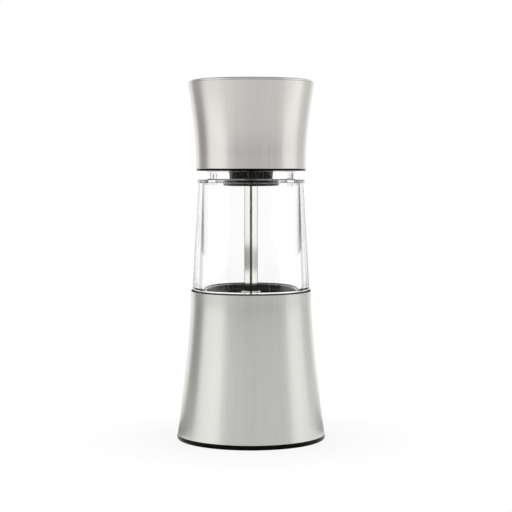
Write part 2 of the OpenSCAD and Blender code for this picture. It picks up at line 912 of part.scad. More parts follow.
// Moulding under the top plate, with posts for the cap's screws
module top_carrier() {
    color("#1b1b1d") {
        difference() {
            union() {
                disc(cap_r(carrier_z) - sheet_t - fit_gap, carrier_z, sleeve_top_z);
                around(screw_count, post_circle_d / 2) {
                    disc(post_d / 2, core_floor_z, carrier_z + cut);
                }
            }
            around(screw_count, post_circle_d / 2) {
                disc(screw_d / 2 + fit_gap, core_floor_z - cut, cap_screw_z + screw_l + fit_gap);
            }
        }
    }
}

// Black moulding in the cap: the band, a floor, a wall in the steel and a tube for the boss
module cap_core() {
    color("#0c0c0d") {
        difference() {
            union() {
                disc(cap_waist_r - band_step, cap_low_z, sleeve_low_z);
                disc(core_r, cap_low_z, core_floor_z);
                ring(core_r - core_wall, core_r, cap_low_z, sleeve_low_z + core_wall_h);
                disc(tube_r, cap_low_z, web_top_z);
            }
            disc(stem_r + fit_gap, cap_low_z - cut, stem_top_z);
            around(screw_count, post_circle_d / 2) {
                translate([0, 0, cap_screw_z]) {
                    screw_hole(screw_d, head_d, screw_l);
                }
            }
            around(boss_screw_count, boss_screw_r) {
                disc(boss_screw_d / 2 + fit_gap, stem_top_z - cut, web_top_z + cut);
            }
        }
    }
}

// Screws through the cap's floor into the carrier's posts
module cap_screws() {
    color("dimgray") {
        around(screw_count, post_circle_d / 2) {
            translate([0, 0, cap_screw_z]) {
                screw(screw_d, head_d, screw_l);
            }
        }
    }
}

// Black boss under the cap: a stem in the core, a tapered boss, a lip and the spindle's socket
module drive_boss() {
    clip_z = boss_low_z + clip_rise;
    groove_r = washer_hole_r + clip_wire_d + 2 * fit_gap;
    color("#0c0c0d") {
        difference() {
            union() {
                disc(lip_r, boss_low_z, lip_top_z);
                translate([0, 0, lip_top_z]) {
                    cylinder(r1 = boss_r - boss_taper, r2 = boss_r, h = cap_low_z - lip_top_z);
                }
                disc(stem_r, cap_low_z, stem_top_z);
            }
            square_hole(fit_gap, boss_low_z - cut, socket_top_z);
            disc(groove_r, clip_z - clip_wire_d / 2 - fit_gap, clip_z + clip_wire_d / 2 + fit_gap);
            around(boss_screw_count, boss_screw_r) {
                disc(boss_screw_d / 2 + fit_gap, web_top_z - screw_l - fit_gap, stem_top_z + cut);
            }
        }
    }
}

// Screws through the core's web into the boss's stem
module boss_screws() {
    color("dimgray") {
        around(boss_screw_count, boss_screw_r) {
            translate([0, 0, web_top_z]) {
                mirror([0, 0, 1]) {
                    screw(boss_screw_d, boss_head_d, screw_l);
                }
            }
        }
    }
}

// Spring ring in the boss that grips the spindle
module drive_clip() {
    color("darkgray") {
        translate([0, 0, boss_low_z + clip_rise]) {
            rotate(clip_opening / 2) {
                rotate_extrude(angle = 360 - clip_opening) {
                    translate([washer_hole_r + clip_wire_d / 2, 0]) {
                        circle(d = clip_wire_d);
                    }
                }
            }
        }
    }
}

base_sleeve();
base_frame();
foot_ring();
base_screws();
hopper_liner();
jar_seal();
jar();
rim_gasket();
jar_collar();
spindle_bridge();
burr_housing();
stator_burr();
housing_screws();
spindle();
spindle_clip();
spindle_bush();
spring_washer();
rotor_spring();
rotor_burr();
rotor_washer();
adjuster_knob();
adjuster_nut();
cap_sleeve();
cap_top_plate();
top_carrier();
cap_core();
cap_screws();
drive_boss();
boss_screws();
drive_clip();
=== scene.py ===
import math

import bpy
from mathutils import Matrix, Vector


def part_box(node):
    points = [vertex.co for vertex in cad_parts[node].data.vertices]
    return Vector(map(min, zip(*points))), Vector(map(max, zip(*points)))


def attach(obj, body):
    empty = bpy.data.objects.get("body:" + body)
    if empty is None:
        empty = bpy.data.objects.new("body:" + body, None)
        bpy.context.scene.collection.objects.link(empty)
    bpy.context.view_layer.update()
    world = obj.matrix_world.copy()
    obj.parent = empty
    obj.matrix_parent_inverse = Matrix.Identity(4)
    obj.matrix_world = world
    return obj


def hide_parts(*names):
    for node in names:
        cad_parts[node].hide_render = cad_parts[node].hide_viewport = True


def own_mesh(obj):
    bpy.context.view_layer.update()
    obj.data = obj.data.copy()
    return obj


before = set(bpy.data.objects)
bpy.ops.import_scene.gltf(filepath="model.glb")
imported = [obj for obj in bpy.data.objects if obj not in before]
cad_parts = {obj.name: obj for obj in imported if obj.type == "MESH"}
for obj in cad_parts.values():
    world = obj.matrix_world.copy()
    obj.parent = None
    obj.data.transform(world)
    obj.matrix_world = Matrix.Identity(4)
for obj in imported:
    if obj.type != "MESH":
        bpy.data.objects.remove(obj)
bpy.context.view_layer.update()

# Foot ring: the black ring that the mill stands on.
# It is moulded in glossy black plastic with rounded edges, and three screws in sunk holes
# hold it to the frame inside the base.
MM = 0.001
WELD = 0.001 * MM
SMOOTH_ANGLE = math.radians(32)
FULL_TURN = 2 * math.pi
FLAT_MARGIN = 1.15


def reach(node):
    """A round node's outer radius, lowest height and highest height."""
    low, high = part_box(node)
    return high.x, low.z, high.z


def with_rounds(outline, arc_steps=5):
    """An outline's points, where a corner written (radius, height, round) becomes an arc.

    A point just outside each end of an arc keeps the straight stretches flat where they are shaded.
    """
    points = []
    for i, corner in enumerate(outline):
        here = Vector(corner[:2])
        if len(corner) < 3:
            points.append(here)
            continue
        before = (Vector(outline[i - 1][:2]) - here).normalized()
        after = (Vector(outline[(i + 1) % len(outline)][:2]) - here).normalized()
        half = before.angle(after) / 2
        middle = here + (before + after).normalized() * corner[2] / math.sin(half)
        setback = corner[2] / math.tan(half)
        first = here + before * setback - middle
        last = here + after * setback - middle
        points.append(here + before * setback * FLAT_MARGIN)
        for k in range(arc_steps + 1):
            spoke = first.lerp(last, k / arc_steps).normalized() * corner[2]
            points.append(middle + spoke)
        points.append(here + after * setback * FLAT_MARGIN)
    return points


def select_only(piece):
    """Leaves one piece selected and active for the operators that follow."""
    bpy.ops.object.select_all(action="DESELECT")
    piece.select_set(True)
    bpy.context.view_layer.objects.active = piece


def started(name, add_primitive, **sizes):
    """A new piece that starts as a primitive, with nothing else selected."""
    bpy.ops.object.select_all(action="DESELECT")
    add_primitive(**sizes)
    piece = bpy.context.object
    piece.name = name
    return piece


def tidy_mesh(piece):
    """Merges doubles, turns the faces outwards and smooths all but the hard edges."""
    select_only(piece)
    bpy.ops.object.mode_set(mode="EDIT")
    bpy.ops.mesh.select_all(action="SELECT")
    bpy.ops.mesh.remove_doubles(threshold=WELD)
    bpy.ops.mesh.normals_make_consistent(inside=False)
    bpy.ops.object.mode_set(mode="OBJECT")
    bpy.ops.object.shade_smooth_by_angle(angle=SMOOTH_ANGLE)
    return piece


def turned(name, outline, steps=144):
    """A closed outline of radii and heights, drawn point by point and spun as on a lathe."""
    points = with_rounds(outline)
    piece = started(name, bpy.ops.mesh.primitive_plane_add, size=MM)
    bpy.ops.object.mode_set(mode="EDIT")
    bpy.ops.mesh.merge(type="CENTER")
    bpy.ops.transform.translate(value=(points[0].x, 0, points[0].y))
    for here, there in zip(points, points[1:] + points[:1]):
        step = there - here
        bpy.ops.mesh.extrude_vertices_move(TRANSFORM_OT_translate={"value": (step.x, 0, step.y)})
    bpy.ops.mesh.select_all(action="SELECT")
    bpy.ops.mesh.remove_doubles(threshold=WELD)
    bpy.ops.mesh.select_all(action="SELECT")
    bpy.ops.mesh.spin(steps=steps, angle=FULL_TURN, center=(0, 0, 0), axis=(0, 0, 1))
    bpy.ops.object.mode_set(mode="OBJECT")
    return tidy_mesh(piece)


def turned_ring(name, in_r, out_r, low_z, high_z, rounds=(0, 0, 0, 0), steps=144):
    """A turned ring, or a disc where it has no inner radius, with its section's four corners rounded."""
    corners = [(in_r, low_z), (out_r, low_z), (out_r, high_z), (in_r, high_z)]
    return turned(name, [(*corner, arc) if arc else corner for corner, arc in zip(corners, rounds)], steps)


def ring_of(piece, count, radius, first_angle=0.0):
    """Copies of a small piece on a circle round the spindle, joined into one mesh."""
    copies = [piece]
    for _ in range(count - 1):
        copy = piece.copy()
        copy.data = piece.data.copy()
        bpy.context.collection.objects.link(copy)
        copies.append(copy)
    select_only(piece)
    for i, copy in enumerate(copies):
        angle = first_angle + i * FULL_TURN / count
        copy.location = (radius * math.cos(angle), radius * math.sin(angle), 0)
        copy.rotation_euler = (0, 0, angle)
        copy.select_set(True)
    bpy.ops.object.transform_apply(location=True, rotation=True, scale=True)
    bpy.ops.object.join()
    return piece


def combine(piece, tool, operation):
    """Cuts a tool out of a piece, or joins it on, and removes the tool."""
    select_only(piece)
    modifier = piece.modifiers.new(operation.lower(), "BOOLEAN")
    modifier.operation = operation
    modifier.solver = "MANIFOLD"
    modifier.object = tool
    bpy.ops.object.modifier_apply(modifier=modifier.name)
    bpy.data.objects.remove(tool)
    bpy.ops.object.shade_smooth_by_angle(angle=SMOOTH_ANGLE)
    return piece


def new_material(name):
    """A material with its node tree and its Principled shader."""
    material = bpy.data.materials.new(name)
    material.use_nodes = True
    return material, material.node_tree, material.node_tree.nodes["Principled BSDF"]


def feed(tree, node, inputs):
    """Gives a node's inputs, named or numbered, their plain values or the sockets that feed them."""
    for key, value in inputs.items():
        if isinstance(value, bpy.types.NodeSocket):
            tree.links.new(value, node.inputs[key])
        else:
            node.inputs[key].default_value = value


def new_node(tree, kind, settings=None, listed=None, **inputs):
    """A node with its settings and its inputs."""
    made = tree.nodes.new(kind)
    for key, value in (settings or {}).items():
        setattr(made, key, value)
    feed(tree, made, {**(listed or {}), **inputs})
    return made


def object_place(tree):
    """The place on the object, which a pattern follows."""
    return new_node(tree, "ShaderNodeTexCoord").outputs["Object"]


def noise(tree, place, scale, detail, roughness=0.5, distortion=0.0):
    """A value that changes unevenly from place to place."""
    return new_node(tree, "ShaderNodeTexNoise", Vector=place, Scale=scale, Detail=detail,
                    Roughness=roughness, Distortion=distortion).outputs["Fac"]


def maths(tree, operation, *values, clamp=False):
    """The result of one sum on numbers or sockets."""
    settings = {"operation": operation, "use_clamp": clamp}
    return new_node(tree, "ShaderNodeMath", settings, dict(enumerate(values))).outputs["Value"]


def ease(tree, value, start, end, low=0.0, high=1.0):
    """A number that goes from low to high while a value goes from start to end."""
    ends = {"From Min": start, "From Max": end, "To Min": low, "To Max": high}
    return new_node(tree, "ShaderNodeMapRange", None, ends, Value=value).outputs["Result"]


def blend(tree, share, first, second, kind="MIX"):
    """A colour between two, each of them a socket, three numbers or one grey."""
    ends = []
    for end in (first, second):
        if isinstance(end, float):
            end = (end, end, end)
        ends.append(end if isinstance(end, bpy.types.NodeSocket) else (*end, 1))
    settings = {"data_type": "RGBA", "blend_type": kind}
    return new_node(tree, "ShaderNodeMix", settings, {0: share, 6: ends[0], 7: ends[1]}).outputs[2]


def new_group(name, inputs, outputs):
    """An empty shader group with named sockets, its input node and its output node."""
    group = bpy.data.node_groups.new(name, "ShaderNodeTree")
    for label, value in inputs.items():
        kind = "NodeSocketVector" if value is None else "NodeSocketFloat"
        socket = group.interface.new_socket(label, in_out="INPUT", socket_type=kind)
        if value is not None:
            socket.default_value = value
    for label in outputs:
        group.interface.new_socket(label, in_out="OUTPUT", socket_type="NodeSocketFloat")
    return group, group.nodes.new("NodeGroupInput"), group.nodes.new("NodeGroupOutput")


# The skin of a plastic or rubber moulding: fine grain from the tool, and faint smudges from hands
moulded_skin, skin_in, skin_out = new_group(
    "moulded_skin", {"Grain Scale": 3000.0, "Gloss": 0.3, "Smudge": 0.1}, ["Tone", "Roughness", "Height"])
skin_place = object_place(moulded_skin)
skin_grain = noise(moulded_skin, skin_place, skin_in.outputs["Grain Scale"], 3.0, roughness=0.6)
skin_smudge = noise(moulded_skin, skin_place, 120.0, 5.0, roughness=0.65, distortion=0.6)
skin_tone = ease(moulded_skin, skin_smudge, 0.35, 0.7)
skin_roughness = maths(moulded_skin, "MULTIPLY_ADD", skin_tone, skin_in.outputs["Smudge"],
                       skin_in.outputs["Gloss"])
feed(moulded_skin, skin_out, {"Tone": skin_tone, "Roughness": skin_roughness, "Height": skin_grain})


def moulding_material(name, dark, light, gloss, smudge, grain_scale, grain_depth, shine=0.5):
    """A plastic or rubber: two close tones, a roughness that smudges change, and a moulded grain."""
    material, tree, shader = new_material(name)
    skin = new_node(tree, "ShaderNodeGroup", {"node_tree": moulded_skin},
                    {"Grain Scale": grain_scale, "Gloss": gloss, "Smudge": smudge})
    bump = new_node(tree, "ShaderNodeBump", Height=skin.outputs["Height"], Distance=grain_depth, Strength=0.5)
    feed(tree, shader, {
        "Base Color": blend(tree, skin.outputs["Tone"], dark, light),
        "Roughness": skin.outputs["Roughness"],
        "Specular IOR Level": shine,
        "Normal": bump.outputs["Normal"],
    })
    return material


def fit(piece, body, slot, material, *nodes):
    """Gives a piece its finish, lets it ride on its body and puts it in the place of its nodes."""
    piece.data.materials.clear()
    piece.data.materials.append(material)
    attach(piece, body)
    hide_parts(*nodes)


black_gloss = moulding_material(
    "glossy_black_moulding", dark=(0.0015, 0.0015, 0.0015), light=(0.004, 0.0037, 0.0035), gloss=0.12,
    smudge=0.12, grain_scale=1800.0, grain_depth=0.004 * MM, shine=0.08)

foot_r, foot_z, foot_top_z = reach("foot_ring")
foot_inner_r = foot_r - 10 * MM
foot_round = 0.7 * MM
foot_inner_round = 0.3 * MM
screw_circle_r = foot_inner_r + 2.85 * MM
screw_count = 3
screw_head_r = 2.6 * MM
screw_shank_r = 1.4 * MM
screw_head_h = 1.2 * MM
screw_length = 8 * MM
sunk_depth = 1.35 * MM
hole_gap = 0.15 * MM
mouth_chamfer = 0.25 * MM


def screw_room(name, face_z, far_z):
    """The tool that sinks a screw: a hole, a wider recess for the head and a chamfered mouth."""
    recess_r = screw_head_r + hole_gap
    return turned(name, [
        (0, face_z - MM),
        (recess_r + mouth_chamfer, face_z - MM),
        (recess_r + mouth_chamfer, face_z),
        (recess_r, face_z + mouth_chamfer),
        (recess_r, face_z + sunk_depth),
        (screw_shank_r + hole_gap, face_z + sunk_depth),
        (screw_shank_r + hole_gap, far_z),
        (0, far_z),
    ], steps=40)


foot_moulding = turned_ring("foot_moulding", foot_inner_r, foot_r, foot_z, foot_top_z,
                            (foot_inner_round, foot_round, foot_round, foot_inner_round))
foot_screw_room = screw_room("foot_screw_room", foot_z, foot_top_z + MM)
combine(foot_moulding, ring_of(foot_screw_room, screw_count, screw_circle_r), "DIFFERENCE")
fit(foot_moulding, "base", "black_gloss", black_gloss, "foot_ring")

# Base screws: three plated steel screws, sunk in the foot ring and driven up into the frame.
# Each has a low domed head with a cross recess for the driver.
dome_flat_r = 0.62 * screw_head_r
dome_drop = 0.06 * MM
head_edge_h = 0.4 * MM
screw_tip_r = 0.3 * screw_shank_r
screw_tip_h = 1 * MM
driver_slot_size = (1.3 * screw_head_r, screw_head_r / 3, screw_head_h)


def block(name, size, centre, soft=0.0, turn=0.0):
    """A block with softened edges, made at its size and place and turned about the spindle's line."""
    piece = started(name, bpy.ops.mesh.primitive_cube_add, size=1)
    bpy.ops.object.mode_set(mode="EDIT")
    bpy.ops.transform.resize(value=size)
    if soft:
        bpy.ops.mesh.bevel(offset=soft, segments=3, affect="EDGES")
    bpy.ops.object.mode_set(mode="OBJECT")
    piece.location = Vector(centre)
    bpy.ops.object.transform_apply(location=True)
    piece.rotation_euler = (0, 0, turn)
    bpy.ops.object.transform_apply(rotation=True)
    return tidy_mesh(piece)


def screw(name, face_z):
    """A screw that points up from a sunk head, with its shank a little smaller than its hole."""
    seat_z = face_z + sunk_depth
    head_z = seat_z - screw_head_h
    piece = turned(name, [
        (0, head_z),
        (dome_flat_r, head_z + dome_drop),
        (screw_head_r, head_z + head_edge_h, 0.25 * MM),
        (screw_head_r, seat_z, 0.1 * MM),
        (screw_shank_r, seat_z),
        (screw_shank_r, seat_z + screw_length - screw_tip_h),
        (screw_tip_r, seat_z + screw_length),
        (0, seat_z + screw_length),
    ], steps=48)
    for turn in (0, FULL_TURN / 4):
        combine(piece, block("driver_slot", driver_slot_size, (0, 0, head_z), turn=turn), "DIFFERENCE")
    return piece


def vectors(tree, operation, *values, **inputs):
    """The result of one sum on vectors, or the length of one."""
    made = new_node(tree, "ShaderNodeVectorMath", {"operation": operation}, dict(enumerate(values)), **inputs)
    return made.outputs["Value" if operation == "LENGTH" else "Vector"]


# Lines that a machine leaves in metal: the caller gives a vector that is dense across them
machined_lines, lines_in, lines_out = new_group(
    "machined_lines", {"Lines": None, "Gloss": 0.25, "Spread": 0.1}, ["Tone", "Roughness", "Height"])
lines_place = lines_in.outputs["Lines"]
lines_fine = noise(machined_lines, lines_place, 1.0, 4.0, roughness=0.7)
lines_wide = noise(machined_lines, vectors(machined_lines, "SCALE", lines_place, Scale=0.11), 1.0, 2.0)
lines_both = new_node(machined_lines, "ShaderNodeMix", {"data_type": "FLOAT"},
                      {0: 0.35, 2: lines_fine, 3: lines_wide}).outputs[0]
lines_tone = ease(machined_lines, lines_both, 0.3, 0.7)
lines_roughness = maths(machined_lines, "MULTIPLY_ADD", lines_tone, lines_in.outputs["Spread"],
                        lines_in.outputs["Gloss"])
feed(machined_lines, lines_out, {"Tone": lines_tone, "Roughness": lines_roughness, "Height": lines_fine})


def metal_material(name, dark, light, gloss, spread, lines, depth, anisotropic=0.0):
    """A metal with two close tones along its machined lines; lines(tree) makes their vector."""
    material, tree, shader = new_material(name)
    marks = new_node(tree, "ShaderNodeGroup", {"node_tree": machined_lines},
                     Lines=lines(tree), Gloss=gloss, Spread=spread)
    bump = new_node(tree, "ShaderNodeBump", Height=marks.outputs["Height"], Distance=depth, Strength=0.4)
    feed(tree, shader, {
        "Base Color": blend(tree, marks.outputs["Tone"], dark, light),
        "Metallic": 1,
        "Roughness": marks.outputs["Roughness"],
        "Normal": bump.outputs["Normal"],
    })
    if anisotropic:
        tangent = new_node(tree, "ShaderNodeTangent", {"direction_type": "RADIAL", "axis": "Z"})
        feed(tree, shader, {"Anisotropic": anisotropic, "Tangent": tangent.outputs["Tangent"]})
    return material


def straight_lines(scale):
    """Lines that run along an axis: dense where the scale is large, long where it is small."""
    def lines(tree):
        return new_node(tree, "ShaderNodeMapping", Vector=object_place(tree), Scale=scale).outputs["Vector"]
    return lines


screw_steel = metal_material(
    "plated_screw_steel", dark=(0.34, 0.34, 0.35), light=(0.5, 0.5, 0.51), gloss=0.24, spread=0.16,
    lines=straight_lines((1400, 1400, 1400)), depth=0.002 * MM)
base_fasteners = ring_of(screw("base_fasteners", foot_z), screw_count, screw_circle_r)
fit(base_fasteners, "base", "screw_steel", screw_steel, "base_screws")

# Base frame: the black moulding inside the steel, which carries the jar, the liner and the burrs.
# Its skirt backs the steel and its satin skin only shows from below, so the CAD form stays.
black_satin = moulding_material(
    "satin_black_moulding", dark=(0.014, 0.014, 0.015), light=(0.026, 0.026, 0.028), gloss=0.42,
    smudge=0.14, grain_scale=5200.0, grain_depth=0.012 * MM)


def dress(node, material):
    """Gives a CAD node that stays as it is its finish."""
    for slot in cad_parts[node].material_slots:
        slot.material = material


dress("base_frame", black_satin)

# Base sleeve: thin stainless sheet, rolled into a tube that flares towards the foot.
# The outside is brushed along its length, and both edges are rolled smooth.
sheet_t = 0.8 * MM
edge_round = 0.2 * MM
base_low_r, base_z, base_top_z = reach("base_sleeve")
base_top_r = 30.3 * MM
base_straight = 6 * MM
base_flare_power = 1.3
flare_steps = 28


def flared(narrow_r, wide_r, start_z, end_z, power):
    """A sheet's outer radius by height: straight up to where its flare starts, then widening to its end."""
    def radius(z):
        share = max(0.0, (z - start_z) / (end_z - start_z))
        return narrow_r + (wide_r - narrow_r) * share ** power
    return radius


def sleeve_outline(low_z, high_z, radius):
    """A sheet's outline: up its outside, round its rim, down its inside and round its lower edge."""
    heights = [low_z + (high_z - low_z) * i / flare_steps for i in range(flare_steps + 1)]
    outside = [(radius(z), z) for z in heights]
    inside = [(radius(z) - sheet_t, z) for z in reversed(heights)]
    ends = {0, len(heights) - 1, len(heights), 2 * len(heights) - 1}
    return [(*p, edge_round) if i in ends else p for i, p in enumerate(outside + inside)]


def upright_lines(across, along):
    """Lines that follow a round sheet from edge to edge, whatever its flare."""
    def lines(tree):
        place = object_place(tree)
        outwards = vectors(tree, "NORMALIZE", vectors(tree, "MULTIPLY", place, (1, 1, 0)))
        round_part = vectors(tree, "SCALE", outwards, Scale=across)
        up_part = vectors(tree, "MULTIPLY", place, (0, 0, along))
        return vectors(tree, "ADD", round_part, up_part)
    return lines


def brushed_sheet(name, dark, light):
    """Stainless sheet with a fine upright brushing that draws its reflections out."""
    return metal_material(name, dark, light, gloss=0.2, spread=0.07, lines=upright_lines(110, 90),
                          depth=0.003 * MM, anisotropic=0.6)


brushed_steel = brushed_sheet("upright_brushed_steel", (0.66, 0.657, 0.627), (0.72, 0.716, 0.685))
base_radius = flared(base_top_r, base_low_r, base_top_z - base_straight, base_z, base_flare_power)
base_steel = turned("base_steel", sleeve_outline(base_z, base_top_z, base_radius), steps=192)
fit(base_steel, "base", "brushed_steel", brushed_steel, "base_sleeve")

# Hopper liner: the glossy black funnel that leads the spice from the jar down to the burrs.
# Its rim stands up inside the jar's foot, and its lower flange takes the housing's screws.
liner_flange_r, liner_z, liner_top_z = reach("hopper_liner")
liner_r = 23.85 * MM
liner_wall = 1.3 * MM
ledge_r = liner_r - liner_wall - 2.2 * MM
ledge_z = liner_top_z - 7.5 * MM
throat_r = 14 * MM
cone_wall = 1.8 * MM
liner_flange_top_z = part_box("jar_seal")[0].z
liner_flange_low_z = liner_flange_top_z - 2 * MM
housing_flange_r = 26.85 * MM
housing_flange_t = 2.5 * MM
housing_screw_r = 24.1 * MM


def cone_radius(z):
    """The outer radius of the liner's cone at a height."""
    return throat_r + cone_wall + (ledge_r - throat_r) * (z - liner_z) / (ledge_z - liner_z)


liner_moulding = turned("liner_moulding", [
    (throat_r, liner_z),
    (housing_flange_r, liner_z),
    (housing_flange_r, liner_z + housing_flange_t, 0.4 * MM),
    (cone_radius(liner_z + housing_flange_t), liner_z + housing_flange_t),
    (cone_radius(liner_flange_low_z), liner_flange_low_z),
    (liner_flange_r, liner_flange_low_z),
    (liner_flange_r, liner_flange_top_z),
    (liner_r, liner_flange_top_z),
    (liner_r, liner_top_z, 0.45 * MM),
    (liner_r - liner_wall, liner_top_z, 0.45 * MM),
    (liner_r - liner_wall, ledge_z),
    (ledge_r, ledge_z, 0.4 * MM),
])
liner_screw_bore = turned_ring("liner_screw_bore", 0, screw_shank_r + hole_gap, liner_z - MM,
                               liner_z + housing_flange_t + MM, steps=40)
combine(liner_moulding, ring_of(liner_screw_bore, screw_count, housing_screw_r), "DIFFERENCE")
mirror_black = moulding_material(
    "mirror_black_moulding", dark=(0.003, 0.003, 0.003), light=(0.006, 0.006, 0.006), gloss=0.03,
    smudge=0.05, grain_scale=1800.0, grain_depth=0.001 * MM)
mirror_black.node_tree.nodes["Principled BSDF"].inputs["IOR"].default_value = 2.0
fit(liner_moulding, "base", "black_gloss", mirror_black, "hopper_liner")

# Jar seal: a soft, milky silicone ring with rounded edges.
# It is squeezed between the jar's foot and the liner's flange.
milky_silicone = moulding_material(
    "milky_silicone", dark=(0.7, 0.7, 0.68), light=(0.8, 0.8, 0.78), gloss=0.45, smudge=0.1,
    grain_scale=2600.0, grain_depth=0.006 * MM)
seal_r, seal_z, seal_top_z = reach("jar_seal")
seal_in_r = liner_r + hole_gap
seal_round = 0.3 * MM
seal_ring = turned_ring("seal_ring", seal_in_r, seal_r, seal_z, seal_top_z, [seal_round] * 4)
fit(seal_ring, "base", "clear_silicone", milky_silicone, "jar_seal")

# Jar: a thick tapered tube of clear acrylic with a straight bore.
# Its foot is a spigot that stands in the base, and its polished walls carry only faint hair marks.


def mix_surface(tree, share, first, second):
    """Shows a share of a second shader in place of the first."""
    mix = new_node(tree, "ShaderNodeMixShader", None, {0: share, 1: first, 2: second})
    output = next(node for node in tree.nodes if node.type == "OUTPUT_MATERIAL")
    tree.links.new(mix.outputs["Shader"], output.inputs["Surface"])


def clear_material(name):
    """Polished clear acrylic: plain glass with faint hair marks.

    Lamp light goes straight through it, so that what the jar holds is lit.
    """
    material, tree, shader = new_material(name)
    hair_place = new_node(tree, "ShaderNodeMapping", Vector=object_place(tree), Scale=(900, 900, 60),
                          Rotation=(0.5, 0.3, 0)).outputs["Vector"]
    haze = ease(tree, noise(tree, hair_place, 1.0, 2.0), 0.55, 0.8, high=0.015)
    feed(tree, shader, {"Base Color": (0.985, 0.99, 0.985, 1), "IOR": 1.49, "Transmission Weight": 1,
                        "Roughness": haze})
    lamp_ray = new_node(tree, "ShaderNodeLightPath").outputs["Is Shadow Ray"]
    see_through = new_node(tree, "ShaderNodeBsdfTransparent", Color=(0.92, 0.93, 0.92, 1))
    mix_surface(tree, lamp_ray, shader.outputs["BSDF"], see_through.outputs["BSDF"])
    return material


clear_acrylic = clear_material("clear_acrylic")
jar_low_r, jar_z, jar_top_z = reach("jar")
jar_bore_r = 24 * MM
jar_spigot_r = 28.1 * MM
jar_shoulder_z = jar_z + 8 * MM
jar_top_r = 26.3 * MM
joint_gap = 0.06 * MM
jar_acrylic = turned("jar_acrylic", [
    (jar_bore_r, jar_z, 0.3 * MM),
    (jar_spigot_r, jar_z, 0.5 * MM),
    (jar_spigot_r, jar_shoulder_z + joint_gap),
    (jar_low_r, jar_shoulder_z + joint_gap, 0.8 * MM),
    (jar_top_r, jar_top_z - joint_gap, 0.15 * MM),
    (jar_bore_r, jar_top_z - joint_gap, 0.1 * MM),
], steps=256)
fit(jar_acrylic, "base", "clear_acrylic", clear_acrylic, "jar")

# Rim gasket: a thin black rubber ring that shows as a dark line.
# It lies on the base's upper edge, under the jar's shoulder.
black_rubber = moulding_material(
    "black_rubber", dark=(0.012, 0.012, 0.012), light=(0.028, 0.027, 0.026), gloss=0.6, smudge=0.2,
    grain_scale=4200.0, grain_depth=0.01 * MM)
gasket_r, gasket_z, gasket_top_z = reach("rim_gasket")
gasket_in_r = jar_spigot_r + hole_gap
gasket_round = 0.15 * MM
gasket_rubber = turned_ring("gasket_rubber", gasket_in_r, gasket_r, gasket_z, gasket_top_z,
                            (0, gasket_round, gasket_round, 0))
fit(gasket_rubber, "base", "black_rubber", black_rubber, "rim_gasket")

# Jar collar: the clear acrylic ring that closes the jar's rim, with a neck that the cap turns on.
# A spigot centres it in the bore, and two ribs stand inside its neck beside the filling opening.
collar_r, rib_z, neck_top_z = reach("jar_collar")
collar_spigot_z = jar_top_z - 1 * MM
collar_top_z = jar_top_z + 1.6 * MM
collar_wall = 1.7 * MM
opening_r = 14.4 * MM
neck_r = 22.3 * MM
collar_spigot_r = 23.85 * MM
rib_count = 2
rib_t = 1.6 * MM
rib_depth = 1.9 * MM
rib_top_z = collar_top_z + 2.9 * MM
rib_angle = math.radians(-17.5)
collar_acrylic = turned("collar_acrylic", [
    (opening_r, jar_top_z, 0.3 * MM),
    (opening_r, collar_top_z, 0.3 * MM),
    (neck_r - collar_wall, collar_top_z, 0.3 * MM),
    (neck_r - collar_wall, neck_top_z, 0.3 * MM),
    (neck_r, neck_top_z, 0.3 * MM),
    (neck_r, collar_top_z, 0.4 * MM),
    (collar_r, collar_top_z, 0.45 * MM),
    (collar_r, jar_top_z, 0.15 * MM),
    (collar_spigot_r, jar_top_z, 0.05 * MM),
    (collar_spigot_r, collar_spigot_z, 0.1 * MM),
    (collar_spigot_r - collar_wall, collar_spigot_z, 0.1 * MM),
    (collar_spigot_r - collar_wall, jar_top_z, 0.05 * MM),
], steps=256)
rib_in_r = neck_r - collar_wall - rib_depth
rib_out_r = neck_r - collar_wall / 2
rib = block("collar_rib", (rib_out_r - rib_in_r, rib_t, rib_top_z - rib_z),
            ((rib_out_r - rib_in_r) / 2, 0, (rib_top_z + rib_z) / 2), soft=0.2 * MM)
combine(collar_acrylic, ring_of(rib, rib_count, rib_in_r, rib_angle), "UNION")
fit(collar_acrylic, "base", "clear_acrylic", clear_acrylic, "jar_collar")

# Spindle bridge: a black moulding that lies on the liner's ledge and holds the spindle upright.
# Three arms join its outer ring to a hub, which the spindle's bush turns in.
bridge_r, bridge_z, hub_top_z = reach("spindle_bridge")
hub_r = 8.16 * MM
bush_r = 5.5 * MM
bearing_gap = 0.06 * MM
bridge_ring_h = 2.5 * MM
arm_count = 3
arm_w = 4.4 * MM
arm_h = 3.6 * MM
bridge_moulding = turned_ring("bridge_moulding", ledge_r, bridge_r, bridge_z, bridge_z + bridge_ring_h,
                              (0, 0.2 * MM, 0.5 * MM, 0.5 * MM))
hub = turned_ring("bridge_hub", bush_r + bearing_gap, hub_r, bridge_z, hub_top_z,
                  (0.2 * MM, 0.3 * MM, 0.6 * MM, 0.2 * MM), steps=96)
arm_in_r = (bush_r + hub_r) / 2
arm_out_r = (ledge_r + bridge_r) / 2
arm = block("bridge_arm", (arm_out_r - arm_in_r, arm_w, arm_h),
            ((arm_out_r - arm_in_r) / 2, 0, bridge_z + arm_h / 2), soft=0.5 * MM)
combine(hub, ring_of(arm, arm_count, arm_in_r, FULL_TURN / 4), "UNION")
combine(bridge_moulding, hub, "UNION")
fit(bridge_moulding, "base", "black_moulding", black_satin, "spindle_bridge")

